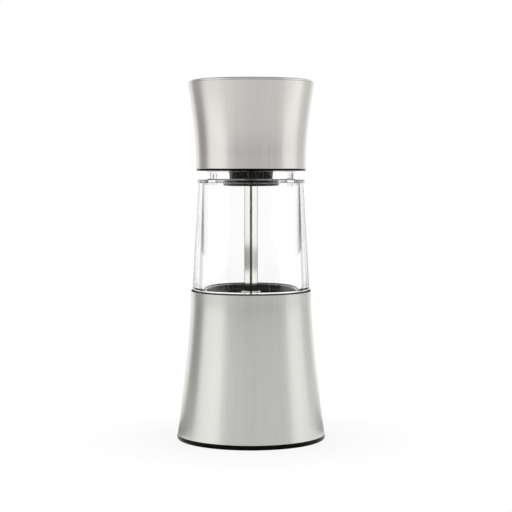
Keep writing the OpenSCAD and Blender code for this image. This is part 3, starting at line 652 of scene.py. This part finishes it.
# Burr housing: a black moulded cup under the liner, which holds the fixed burr on its ledge.
# Three screws through its flange fix it to the liner's lower flange.
housing_flange_out_r, housing_z, housing_top_z = reach("burr_housing")
housing_r = 21.35 * MM
stator_bore_r = 19.15 * MM
housing_ledge_r = 17.2 * MM
housing_ledge_t = 2 * MM
housing_moulding = turned("housing_moulding", [
    (housing_ledge_r, housing_z, 0.4 * MM),
    (housing_r, housing_z, 0.9 * MM),
    (housing_r, housing_top_z - housing_flange_t, 0.5 * MM),
    (housing_flange_out_r, housing_top_z - housing_flange_t, 0.4 * MM),
    (housing_flange_out_r, housing_top_z),
    (stator_bore_r, housing_top_z),
    (stator_bore_r, housing_z + housing_ledge_t),
    (housing_ledge_r, housing_z + housing_ledge_t, 0.2 * MM),
])
housing_screw_bore = turned_ring("housing_screw_bore", 0, screw_shank_r + hole_gap,
                                 housing_top_z - housing_flange_t - MM, housing_top_z + MM, steps=40)
combine(housing_moulding, ring_of(housing_screw_bore, screw_count, housing_screw_r), "DIFFERENCE")
fit(housing_moulding, "base", "black_moulding", black_satin, "burr_housing")
dress("housing_screws", screw_steel)

# Fixed burr and rotor burr: hardened steel with slanted teeth, ground on their faces.
# The fixed one lies in the housing, and the rotor turns inside it on the spindle's square.
burr_steel = metal_material(
    "ground_burr_steel", dark=(0.2, 0.2, 0.205), light=(0.36, 0.36, 0.365), gloss=0.3, spread=0.16,
    lines=straight_lines((900, 900, 2600)), depth=0.004 * MM)
dress("stator_burr", burr_steel)
dress("rotor_burr", burr_steel)

# Spindle: the bright square rod that carries the cap's turn down to the rotor burr.
# It is drawn rod with a thin bright plating, coloured a patchy dark brown along its rounded corners.
spindle_side = 5.2 * MM
spindle_corner_round = 0.72 * MM
spindle_end_chamfer = 0.35 * MM
spindle_square_z = 18.2 * MM
thread_r = 2 * MM
clip_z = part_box("spindle_clip")[0].z
clip_t = 0.8 * MM
corner_on = FULL_TURN / 8
spindle_z, spindle_top_z = (corner.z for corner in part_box("spindle"))


def square_rod(name, side, low_z, high_z, corner_round=0.0, end_chamfer=0.0):
    """A square rod that stands corner on, with rounded corners and chamfered ends."""
    piece = started(name, bpy.ops.mesh.primitive_cube_add, size=1)
    bpy.ops.object.mode_set(mode="EDIT")
    bpy.ops.transform.resize(value=(side, side, high_z - low_z))
    bpy.ops.object.mode_set(mode="OBJECT")
    for edge in piece.data.edges:
        first, last = (piece.data.vertices[i].co for i in edge.vertices)
        edge.select = abs(first.z - last.z) > side
    bpy.ops.object.mode_set(mode="EDIT")
    bpy.ops.mesh.select_mode(type="EDGE")
    if corner_round:
        bpy.ops.mesh.bevel(offset=corner_round, segments=6, affect="EDGES")
    bpy.ops.mesh.select_mode(type="FACE")
    bpy.ops.mesh.select_all(action="DESELECT")
    bpy.ops.object.mode_set(mode="OBJECT")
    for face in piece.data.polygons:
        face.select = abs(face.normal.z) > 0.9
    bpy.ops.object.mode_set(mode="EDIT")
    if end_chamfer:
        bpy.ops.mesh.bevel(offset=end_chamfer, segments=2, affect="EDGES")
    bpy.ops.mesh.select_mode(type="VERT")
    bpy.ops.object.mode_set(mode="OBJECT")
    piece.location.z = (low_z + high_z) / 2
    piece.rotation_euler.z = corner_on
    bpy.ops.object.transform_apply(location=True, rotation=True)
    return tidy_mesh(piece)


def rod_material(name):
    """Bright plating with drawn lines, browned in a narrow band along the rod's four corners."""
    material = metal_material(
        name, dark=(0.84, 0.82, 0.77), light=(0.93, 0.915, 0.88), gloss=0.03, spread=0.06,
        lines=straight_lines((2600, 2600, 40)), depth=0.0015 * MM)
    tree = material.node_tree
    shader = tree.nodes["Principled BSDF"]
    plating = shader.inputs["Base Color"].links[0].from_socket
    place = object_place(tree)
    sides = new_node(tree, "ShaderNodeSeparateXYZ", Vector=vectors(tree, "ABSOLUTE", place)).outputs
    from_corner = maths(tree, "MINIMUM", sides["X"], sides["Y"])
    band = ease(tree, from_corner, 0.3 * MM, 0.75 * MM, low=1.0, high=0.0)
    patchy = ease(tree, noise(tree, place, 260.0, 3.0), 0.25, 0.6, low=0.7)
    browned = maths(tree, "MULTIPLY", band, patchy)
    feed(tree, shader, {"Base Color": blend(tree, browned, plating, (0.06, 0.045, 0.035))})
    return material


bright_rod = rod_material("bright_plated_rod")
spindle_rod = square_rod("spindle_rod", spindle_side, spindle_square_z, spindle_top_z, spindle_corner_round,
                         spindle_end_chamfer)
clip_groove = turned_ring("clip_groove", spindle_side / 2, spindle_side, clip_z, clip_z + clip_t, steps=64)
combine(spindle_rod, clip_groove, "DIFFERENCE")
thread_end = turned_ring("spindle_thread_end", 0, thread_r, spindle_z, spindle_square_z + MM,
                         (0, 0.4 * MM, 0, 0), steps=48)
combine(spindle_rod, thread_end, "UNION")
flat_sides = spindle_rod.modifiers.new("flat_sides", "WEIGHTED_NORMAL")
flat_sides.keep_sharp = True
bpy.ops.object.modifier_apply(modifier=flat_sides.name)
fit(spindle_rod, "spindle", "bright_rod", bright_rod, "spindle")

# Spindle bush and clip: a dark flanged bush turns with the spindle in the bridge's hub.
# A spring steel clip in the spindle's groove keeps the rod from dropping through it.
bush_plastic = moulding_material(
    "dark_bearing_plastic", dark=(0.022, 0.021, 0.02), light=(0.04, 0.038, 0.036), gloss=0.28, smudge=0.12,
    grain_scale=3000.0, grain_depth=0.006 * MM)
bush_flange_r, bush_z, bush_top_z = reach("spindle_bush")
bush_flange_t = 1 * MM
bush_moulding = turned("bush_moulding", [
    (0, bush_z),
    (bush_r, bush_z, 0.3 * MM),
    (bush_r, bush_top_z - bush_flange_t),
    (bush_flange_r, bush_top_z - bush_flange_t, 0.15 * MM),
    (bush_flange_r, bush_top_z, 0.35 * MM),
    (0, bush_top_z),
], steps=96)
bush_hole = square_rod("bush_hole", spindle_side + 2 * hole_gap, bush_z - MM, bush_top_z + MM)
combine(bush_moulding, bush_hole, "DIFFERENCE")
fit(bush_moulding, "spindle", "bush_plastic", bush_plastic, "spindle_bush")
spring_steel = metal_material(
    "bright_spring_steel", dark=(0.44, 0.44, 0.45), light=(0.6, 0.6, 0.61), gloss=0.18, spread=0.12,
    lines=straight_lines((1800, 1800, 1800)), depth=0.002 * MM)
dress("spindle_clip", spring_steel)

# Rotor spring and its washers: the spring pushes the rotor burr down on the adjuster.
# It is wound from round steel wire.
dress("spring_washer", spring_steel)
dress("rotor_washer", spring_steel)
wire_r = 0.5 * MM
wire_sides = 14
spring_mean_r = 5.7 * MM
spring_turns = 8
steps_per_turn = 36
spring_end_gap = 0.075 * MM
rotor_top_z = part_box("rotor_burr")[1].z
spring_top_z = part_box("spring_washer")[0].z
coil_low_z = rotor_top_z + wire_r + spring_end_gap
coil_high_z = spring_top_z - wire_r - spring_end_gap
spring_coil = started("spring_coil", bpy.ops.mesh.primitive_circle_add, vertices=wire_sides, radius=wire_r,
                      location=(spring_mean_r, 0, coil_low_z), rotation=(FULL_TURN / 4, 0, 0))
bpy.ops.object.transform_apply(location=True, rotation=True)
winding = spring_coil.modifiers.new("winding", "SCREW")
winding.axis = "Z"
winding.angle = FULL_TURN
winding.screw_offset = (coil_high_z - coil_low_z) / spring_turns
winding.iterations = spring_turns
winding.steps = steps_per_turn
winding.render_steps = steps_per_turn
bpy.ops.object.modifier_apply(modifier=winding.name)
bpy.ops.object.mode_set(mode="EDIT")
bpy.ops.mesh.select_all(action="DESELECT")
bpy.ops.mesh.select_non_manifold(use_wire=False, use_multi_face=False, use_non_contiguous=False,
                                 use_verts=False)
bpy.ops.mesh.edge_face_add()
bpy.ops.object.mode_set(mode="OBJECT")
tidy_mesh(spring_coil)
fit(spring_coil, "spindle", "spring_steel", spring_steel, "rotor_spring")
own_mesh(spring_coil)

# Adjuster: a black knob with a fluted grip under the rotor, turned from below to set the grind.
# A hexagonal brass nut in its pocket runs on the spindle's thread.
knob_r, knob_z, knob_top_z = reach("adjuster_knob")
grip_top_z = knob_z + 6 * MM
knob_neck_r = 6.5 * MM
flute_count = 12
flute_r = 1.5 * MM
flute_mouth = 0.35 * MM
flute_mouth_h = 0.5 * MM
nut_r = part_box("adjuster_nut")[1].x
nut_z, nut_top_z = (corner.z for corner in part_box("adjuster_nut"))
shank_room_r = 2.3 * MM
square_room_r = 3.68 * MM
square_room_z = 16.85 * MM
nut_chamfer_h = 0.4 * MM
nut_face_r = 0.88 * nut_r
nut_side_r = 1.02 * nut_r
thread_mouth_r = thread_r + 0.5 * MM


def hexagon(name, radius, low_z, high_z):
    """A six-sided prism with a corner along +X."""
    middle = (0, 0, (low_z + high_z) / 2)
    piece = started(name, bpy.ops.mesh.primitive_cylinder_add, vertices=6, radius=radius,
                    depth=high_z - low_z, location=middle, rotation=(0, 0, FULL_TURN / 12))
    bpy.ops.object.transform_apply(location=True, rotation=True)
    return tidy_mesh(piece)


def mouthed_tool(name, radius, mouth_r, mouth_h, face_z, far_z, steps):
    """The tool for a hole or a flute that opens in a chamfered mouth."""
    return turned(name, [
        (0, face_z - MM),
        (mouth_r, face_z - MM),
        (mouth_r, face_z),
        (radius, face_z + mouth_h),
        (radius, far_z),
        (0, far_z),
    ], steps)


knob_moulding = turned("knob_moulding", [
    (0, knob_z),
    (knob_r, knob_z, 0.7 * MM),
    (knob_r, grip_top_z, 0.7 * MM),
    (knob_neck_r, grip_top_z, 0.4 * MM),
    (knob_neck_r, knob_top_z, 0.3 * MM),
    (0, knob_top_z),
])
flute = mouthed_tool("knob_flute", flute_r, flute_r + flute_mouth, flute_mouth_h, knob_z, grip_top_z + MM,
                     steps=32)
combine(knob_moulding, ring_of(flute, flute_count, knob_r), "DIFFERENCE")
nut_pocket = hexagon("nut_pocket", nut_r + hole_gap, knob_z - MM, nut_top_z + hole_gap)
combine(knob_moulding, nut_pocket, "DIFFERENCE")
spindle_room = turned("knob_spindle_room", [
    (0, knob_z),
    (shank_room_r, knob_z),
    (shank_room_r, square_room_z),
    (square_room_r, square_room_z),
    (square_room_r, knob_top_z + MM),
    (0, knob_top_z + MM),
], steps=64)
combine(knob_moulding, spindle_room, "DIFFERENCE")
fit(knob_moulding, "knob", "black_moulding", black_satin, "adjuster_knob")

nut_brass = metal_material(
    "turned_brass", dark=(0.6, 0.43, 0.18), light=(0.76, 0.57, 0.27), gloss=0.2, spread=0.12,
    lines=straight_lines((500, 500, 3000)), depth=0.003 * MM)
brass_nut = hexagon("brass_nut", nut_r, nut_z, nut_top_z)
nut_chamfer = turned("nut_chamfer", [
    (0, nut_z),
    (nut_face_r, nut_z),
    (nut_side_r, nut_z + nut_chamfer_h),
    (nut_side_r, nut_top_z - nut_chamfer_h),
    (nut_face_r, nut_top_z),
    (0, nut_top_z),
], steps=96)
combine(brass_nut, nut_chamfer, "INTERSECT")
nut_bore = mouthed_tool("nut_bore", thread_r + bearing_gap, thread_mouth_r, nut_chamfer_h, nut_z,
                        nut_top_z + MM, steps=64)
combine(brass_nut, nut_bore, "DIFFERENCE")
fit(brass_nut, "knob", "nut_brass", nut_brass, "adjuster_nut")

# Cap core: the glossy black moulding in the cap's steel, whose edge shows as the thin band below it.
# Its floor has three sunk screws, and its tube takes the boss.
core_band_r, core_z, core_top_z = reach("cap_core")
core_r = 26.65 * MM
core_wall = 2 * MM
core_wall_top_z = core_z + 10 * MM
core_floor_z = core_z + 2.5 * MM
band_top_z = core_z + 1 * MM
stem_room_r = 9.15 * MM
core_tube_r = 11.95 * MM
core_web_z = core_top_z - 2.5 * MM
post_circle_r = 19 * MM
core_moulding = turned("core_moulding", [
    (stem_room_r, core_z, 0.2 * MM),
    (core_band_r, core_z, 0.35 * MM),
    (core_band_r, band_top_z, 0.1 * MM),
    (core_r, band_top_z),
    (core_r, core_wall_top_z, 0.3 * MM),
    (core_r - core_wall, core_wall_top_z, 0.3 * MM),
    (core_r - core_wall, core_floor_z, 0.4 * MM),
    (core_tube_r, core_floor_z, 0.4 * MM),
    (core_tube_r, core_top_z, 0.3 * MM),
    (0, core_top_z),
    (0, core_web_z),
    (stem_room_r, core_web_z),
], steps=192)
core_screw_room = screw_room("core_screw_room", core_z, core_floor_z + MM)
combine(core_moulding, ring_of(core_screw_room, screw_count, post_circle_r), "DIFFERENCE")
fit(core_moulding, "cap", "black_gloss", black_gloss, "cap_core")
cap_fasteners = ring_of(screw("cap_fasteners", core_z), screw_count, post_circle_r)
fit(cap_fasteners, "cap", "screw_steel", screw_steel, "cap_screws")

# Drive boss: the glossy black boss under the cap, with a lip that plugs the collar's opening.
# Its square socket slides on the spindle, and a spring ring in a groove grips the rod.
lip_r, boss_z, stem_top_z = reach("drive_boss")
lip_top_z = jar_top_z + 1.2 * MM
boss_low_r = 10.7 * MM
boss_top_r = 11.3 * MM
stem_r = 9 * MM
socket_top_z = boss_z + 20 * MM
grip_z = boss_z + 3 * MM
grip_groove_r = 4.88 * MM
grip_groove_h = 1.2 * MM
boss_moulding = turned("boss_moulding", [
    (0, boss_z),
    (lip_r, boss_z, 0.25 * MM),
    (lip_r, lip_top_z, 0.3 * MM),
    (boss_low_r, lip_top_z, 0.4 * MM),
    (boss_top_r, core_z),
    (stem_r, core_z),
    (stem_r, stem_top_z, 0.3 * MM),
    (0, stem_top_z),
], steps=160)
socket_room = square_rod("boss_socket", spindle_side + 2 * hole_gap, boss_z - MM, socket_top_z)
combine(boss_moulding, socket_room, "DIFFERENCE")
grip_groove = turned_ring("boss_grip_groove", 0, grip_groove_r, grip_z - grip_groove_h / 2,
                          grip_z + grip_groove_h / 2, steps=64)
combine(boss_moulding, grip_groove, "DIFFERENCE")
fit(boss_moulding, "cap", "black_gloss", black_gloss, "drive_boss")
dress("boss_screws", screw_steel)
dress("drive_clip", spring_steel)

# Cap sleeve: thin stainless sheet that flares towards the top, brushed along its length as the base is.
# It grips the core below and the top plate's carrier above.
cap_rim_r, cap_z, cap_top_z = reach("cap_sleeve")
cap_waist_r = 27.6 * MM
cap_straight = 6 * MM
cap_flare_power = 1.55
cap_radius = flared(cap_waist_r, cap_rim_r, cap_z + cap_straight, cap_top_z, cap_flare_power)
cap_brushed_steel = brushed_sheet("cap_brushed_steel", (0.68, 0.659, 0.63), (0.745, 0.722, 0.69))
cap_steel = turned("cap_steel", sleeve_outline(cap_z, cap_top_z, cap_radius), steps=192)
fit(cap_steel, "cap", "brushed_steel", cap_brushed_steel, "cap_sleeve")
dress("top_carrier", black_satin)

# Top plate: the round steel plate that closes the cap, with a rounded upper edge.
# It was polished on a lathe, so its fine lines run round the middle.


def turning_lines(across, drift):
    """Fine rings round the spindle's line, each a little uneven along its length."""
    def lines(tree):
        flat = vectors(tree, "MULTIPLY", object_place(tree), (1, 1, 0))
        dense = maths(tree, "MULTIPLY", vectors(tree, "LENGTH", flat), across)
        ring = new_node(tree, "ShaderNodeCombineXYZ", X=dense).outputs["Vector"]
        uneven = vectors(tree, "SCALE", vectors(tree, "NORMALIZE", flat), Scale=drift)
        return vectors(tree, "ADD", ring, uneven)
    return lines


plate_steel = metal_material(
    "turned_plate_steel", dark=(0.6, 0.59, 0.57), light=(0.72, 0.71, 0.69), gloss=0.24, spread=0.1,
    lines=turning_lines(5200, 1.5), depth=0.003 * MM)
plate_r, plate_z, plate_top_z = reach("cap_top_plate")
top_plate = turned_ring("top_plate", 0, plate_r, plate_z, plate_top_z, (0, 0.15 * MM, 0.7 * MM, 0), steps=192)
fit(top_plate, "cap", "brushed_steel", plate_steel, "cap_top_plate")

# Studio floor: a round, pale floor that fades into the white background and keeps the mill's shadow.
# Steel and clear walls see it glow in painted greys that change round the mill: painted reflections in place
# of cards and lamps, and painted shade near the mill.
floor_r = 0.69
shadow_r = (0.037, 0.09)
shadow_share = 0.88
near_to_far_r = (0.05, 0.4)
front_r = (0.38, 0.5)
floor_through_grey = 1.1
near_mirrored_grey = 0.55


def grey_ramp(tree, share, stops):
    """A ramp of greys, where a stop is a place from 0 to 1 and its grey."""
    ramp = new_node(tree, "ShaderNodeValToRGB", Fac=share)
    elements = ramp.color_ramp.elements
    while len(elements) < len(stops):
        elements.new(0.5)
    for element, (place, grey) in zip(elements, stops):
        element.position = place
        element.color = (grey, grey, grey, 1)
    return ramp.outputs["Color"]


def tones_round(tree, way, greys):
    """Greys round the mill, by a direction's angle from the camera's side in degrees."""
    parts = new_node(tree, "ShaderNodeSeparateXYZ", Vector=way).outputs
    turn = maths(tree, "ARCTAN2", parts["X"], maths(tree, "MULTIPLY", parts["Y"], -1.0))
    stops = [((degrees + 180) / 360, grey) for degrees, grey in greys]
    return grey_ramp(tree, ease(tree, turn, -math.pi, math.pi), stops)


floor = started("studio_floor", bpy.ops.mesh.primitive_circle_add, vertices=96, radius=floor_r,
                fill_type="NGON")
floor_paint, floor_tree, floor_shader = new_material("floor_paint")
feed(floor_tree, floor_shader, {"Base Color": (0.9, 0.9, 0.9, 1), "Roughness": 0.9, "Specular IOR Level": 0})
floor_path = new_node(floor_tree, "ShaderNodeLightPath").outputs
floor_place = object_place(floor_tree)
floor_far = vectors(floor_tree, "LENGTH", floor_place)

# Painted reflections: the greys that steel and gloss mirror of the floor, close to the mill and further out,
# with painted shade that darkens the floor near the mill's front
near_greys = [
    (-180, 1.0), (-140, 1.0), (-128, 0.34), (-106, 0.34), (-94, 1.0), (-58, 1.0), (-38, 0.52), (0, 0.46),
    (42, 0.52), (62, 1.0), (104, 1.0), (116, 0.44), (132, 0.44), (144, 1.0), (180, 1.0)]
low_greys = [
    (-180, 1.2), (-140, 1.2), (-132, 0.55), (-103, 0.55), (-91, 0.74), (-80, 0.87), (-56, 0.92), (-40, 0.86),
    (-15, 0.8), (0, 0.76), (58, 0.78), (67, 0.93), (103, 0.93), (114, 0.82), (141, 0.84), (149, 1.2),
    (180, 1.2)]
painted_floor_reflection = blend(floor_tree, ease(floor_tree, floor_far, *near_to_far_r),
                       tones_round(floor_tree, floor_place, near_greys),
                       tones_round(floor_tree, floor_place, low_greys))
floor_bounced = blend(floor_tree, floor_path["Is Glossy Ray"], 1.0, painted_floor_reflection)

# What the clear walls show of it, seen straight through them or mirrored inside them: painted greys, with a
# painted darker floor near the mill
mirrored_greys = [
    (-180, 1.2), (-146, 1.2), (-141, 0.8), (-130, 0.8), (-124, 1.2), (-82, 1.2), (-76, 0.22), (-40, 0.2),
    (40, 0.2), (66, 0.22), (72, 1.2), (132, 1.2), (138, 0.8), (146, 0.8), (150, 1.2), (180, 1.2)]
floor_mirrored = blend(floor_tree, ease(floor_tree, floor_far, *front_r), near_mirrored_grey,
                       tones_round(floor_tree, floor_place, mirrored_greys))
floor_through = blend(floor_tree, floor_path["Glossy Depth"], floor_through_grey, floor_mirrored)
floor_tone = blend(floor_tree, floor_path["Is Transmission Ray"], floor_bounced, floor_through)

# Painted shade: near the foot less of the floor glows white, which greys it in a ring whatever the light, on
# top of the real shadow that its lit part keeps
painted_shade_share = ease(floor_tree, floor_far, *shadow_r, low=shadow_share)
floor_white = maths(floor_tree, "MULTIPLY", floor_path["Is Camera Ray"], painted_shade_share)
floor_clear = maths(floor_tree, "MAXIMUM", floor_white, floor_path["Is Transmission Ray"])
floor_share = maths(floor_tree, "MAXIMUM", floor_clear, floor_path["Is Glossy Ray"])
floor_glow = new_node(floor_tree, "ShaderNodeEmission", Color=floor_tone, Strength=1.0)
mix_surface(floor_tree, floor_share, floor_shader.outputs["BSDF"], floor_glow.outputs["Emission"])
floor.data.materials.append(floor_paint)

# Studio room: plain white behind the mill, with greys round it for what mirrors the room.
# The front is greyer than the back, as the steel shows, and the clear walls see dark cards beside it.
room_low = (-0.1, -0.15)
glass_low = (-0.125, -0.158)
glass_high = (0.2, 0.5)
glass_high_grey = 1.2
straight_grey = 1.12
walls_passed = 2.5
room = bpy.data.worlds.new("studio_room")
bpy.context.scene.world = room
room.use_nodes = True
room_tree = room.node_tree
room_way = new_node(room_tree, "ShaderNodeTexCoord").outputs["Generated"]
room_up = new_node(room_tree, "ShaderNodeSeparateXYZ", Vector=room_way).outputs["Z"]
room_path = new_node(room_tree, "ShaderNodeLightPath").outputs

# What steel and gloss mirror: greys round the mill times greys by height, and the floor's greys below
room_greys = [
    (-180, 1.3), (-139, 1.3), (-132, 0.37), (-105, 0.37), (-99, 0.45), (-54, 0.5), (-48, 0.76), (-30, 0.68),
    (-8, 0.65), (0, 0.61), (8, 0.65), (60, 0.67), (68, 0.62), (109, 0.62), (114, 0.8), (141, 0.82),
    (149, 1.3), (180, 1.3)]
room_heights = [
    (-1.0, 1.15), (-0.19, 1.13), (-0.11, 1.0), (-0.08, 0.84), (0.0, 0.89), (0.04, 0.95), (0.066, 1.08),
    (0.09, 1.21), (0.26, 1.22), (0.5, 0.85), (0.75, 0.4), (1.0, 0.6)]
room_by_height = grey_ramp(room_tree, ease(room_tree, room_up, -1.0, 1.0),
                           [((height + 1) / 2, grey) for height, grey in room_heights])
room_high = blend(room_tree, 1.0, tones_round(room_tree, room_way, room_greys), room_by_height,
                  kind="MULTIPLY")
room_tone = blend(room_tree, ease(room_tree, room_up, *room_low), room_high,
                  tones_round(room_tree, room_way, low_greys))

# What the clear walls show: the outer wall, the walls behind it, a low view and a high one
glass_greys = [
    (-180, 1.12), (-143, 1.12), (-141, 0.3), (-131, 0.28), (-128, 0.5), (-98, 0.5), (-94, 0.42), (-62, 0.42),
    (-54, 0.12), (54, 0.12), (62, 0.6), (94, 0.6), (98, 0.5), (134, 0.5), (137, 0.16), (145, 0.18),
    (147, 1.12), (180, 1.12)]
inner_greys = [
    (-180, 1.12), (-98, 1.0), (-94, 0.42), (-62, 0.42), (-54, 0.2), (54, 0.2), (62, 0.6), (94, 0.6),
    (98, 1.0), (180, 1.12)]
glass_low_greys = [
    (-180, 1.12), (-146, 1.12), (-141, 0.84), (-130, 0.84), (-124, 1.05), (-98, 1.0), (-96, 0.22),
    (-62, 0.22), (-54, 0.12), (54, 0.12), (62, 0.22), (96, 0.22), (98, 1.0), (132, 1.05), (138, 0.86),
    (146, 0.86), (150, 1.12), (180, 1.12)]
glass_inner = maths(room_tree, "GREATER_THAN", room_path["Transmission Depth"], walls_passed)
glass_ahead = blend(room_tree, glass_inner, tones_round(room_tree, room_way, glass_greys),
                    tones_round(room_tree, room_way, inner_greys))
glass_tone = blend(room_tree, ease(room_tree, room_up, *glass_low), glass_ahead,
                   tones_round(room_tree, room_way, glass_low_greys))
glass_above = blend(room_tree, ease(room_tree, room_up, *glass_high), glass_tone, glass_high_grey)
glass_straight = maths(room_tree, "SUBTRACT", glass_inner, room_path["Glossy Depth"], clamp=True)
glass_seen = blend(room_tree, glass_straight, glass_above, straight_grey)
room_through = maths(room_tree, "MAXIMUM", room_path["Is Transmission Ray"], room_path["Is Singular Ray"])
room_clear = blend(room_tree, room_through, room_tone, glass_seen)
room_seen = blend(room_tree, room_path["Is Camera Ray"], room_clear, 1.0)
feed(room_tree, room_tree.nodes["Background"], {"Color": room_seen})

# Soft boxes and camera: two tall lamps stand beside the mill, out of the camera's sight.
# The camera stands a little above the mill's middle and looks slightly down at it.
box_distance = 1.2
box_low_z = -0.034
box_height = 1.25


def soft_box(name, degrees, span, level):
    """A tall area lamp that faces the mill, at an angle from the camera's side; level is its brightness."""
    turn = math.radians(degrees)
    width = 2 * box_distance * math.tan(math.radians(span) / 2)
    place = (box_distance * math.sin(turn), -box_distance * math.cos(turn), box_low_z + box_height / 2)
    bpy.ops.object.light_add(type="AREA", location=place, rotation=(FULL_TURN / 4, 0, turn))
    lamp = bpy.context.object
    lamp.name = name
    lamp.data.shape = "RECTANGLE"
    lamp.data.size = width
    lamp.data.size_y = box_height
    lamp.data.energy = level * math.pi * width * box_height
    lamp.visible_camera = False


soft_box("left_soft_box", degrees=-75, span=50, level=0.7)
soft_box("right_soft_box", degrees=88.5, span=41, level=0.55)

camera_place = Vector((0.0025, -0.745, 0.1319))
camera_aim = Vector((0.0025, 0.0, 0.0921))
bpy.ops.object.camera_add(location=camera_place)
camera = bpy.context.object
camera.rotation_euler = (camera_aim - camera_place).to_track_quat("-Z", "Y").to_euler()
camera.data.sensor_width = 36
camera.data.lens = 104.06
bpy.context.scene.camera = camera
bpy.context.scene.view_settings.view_transform = "Standard"
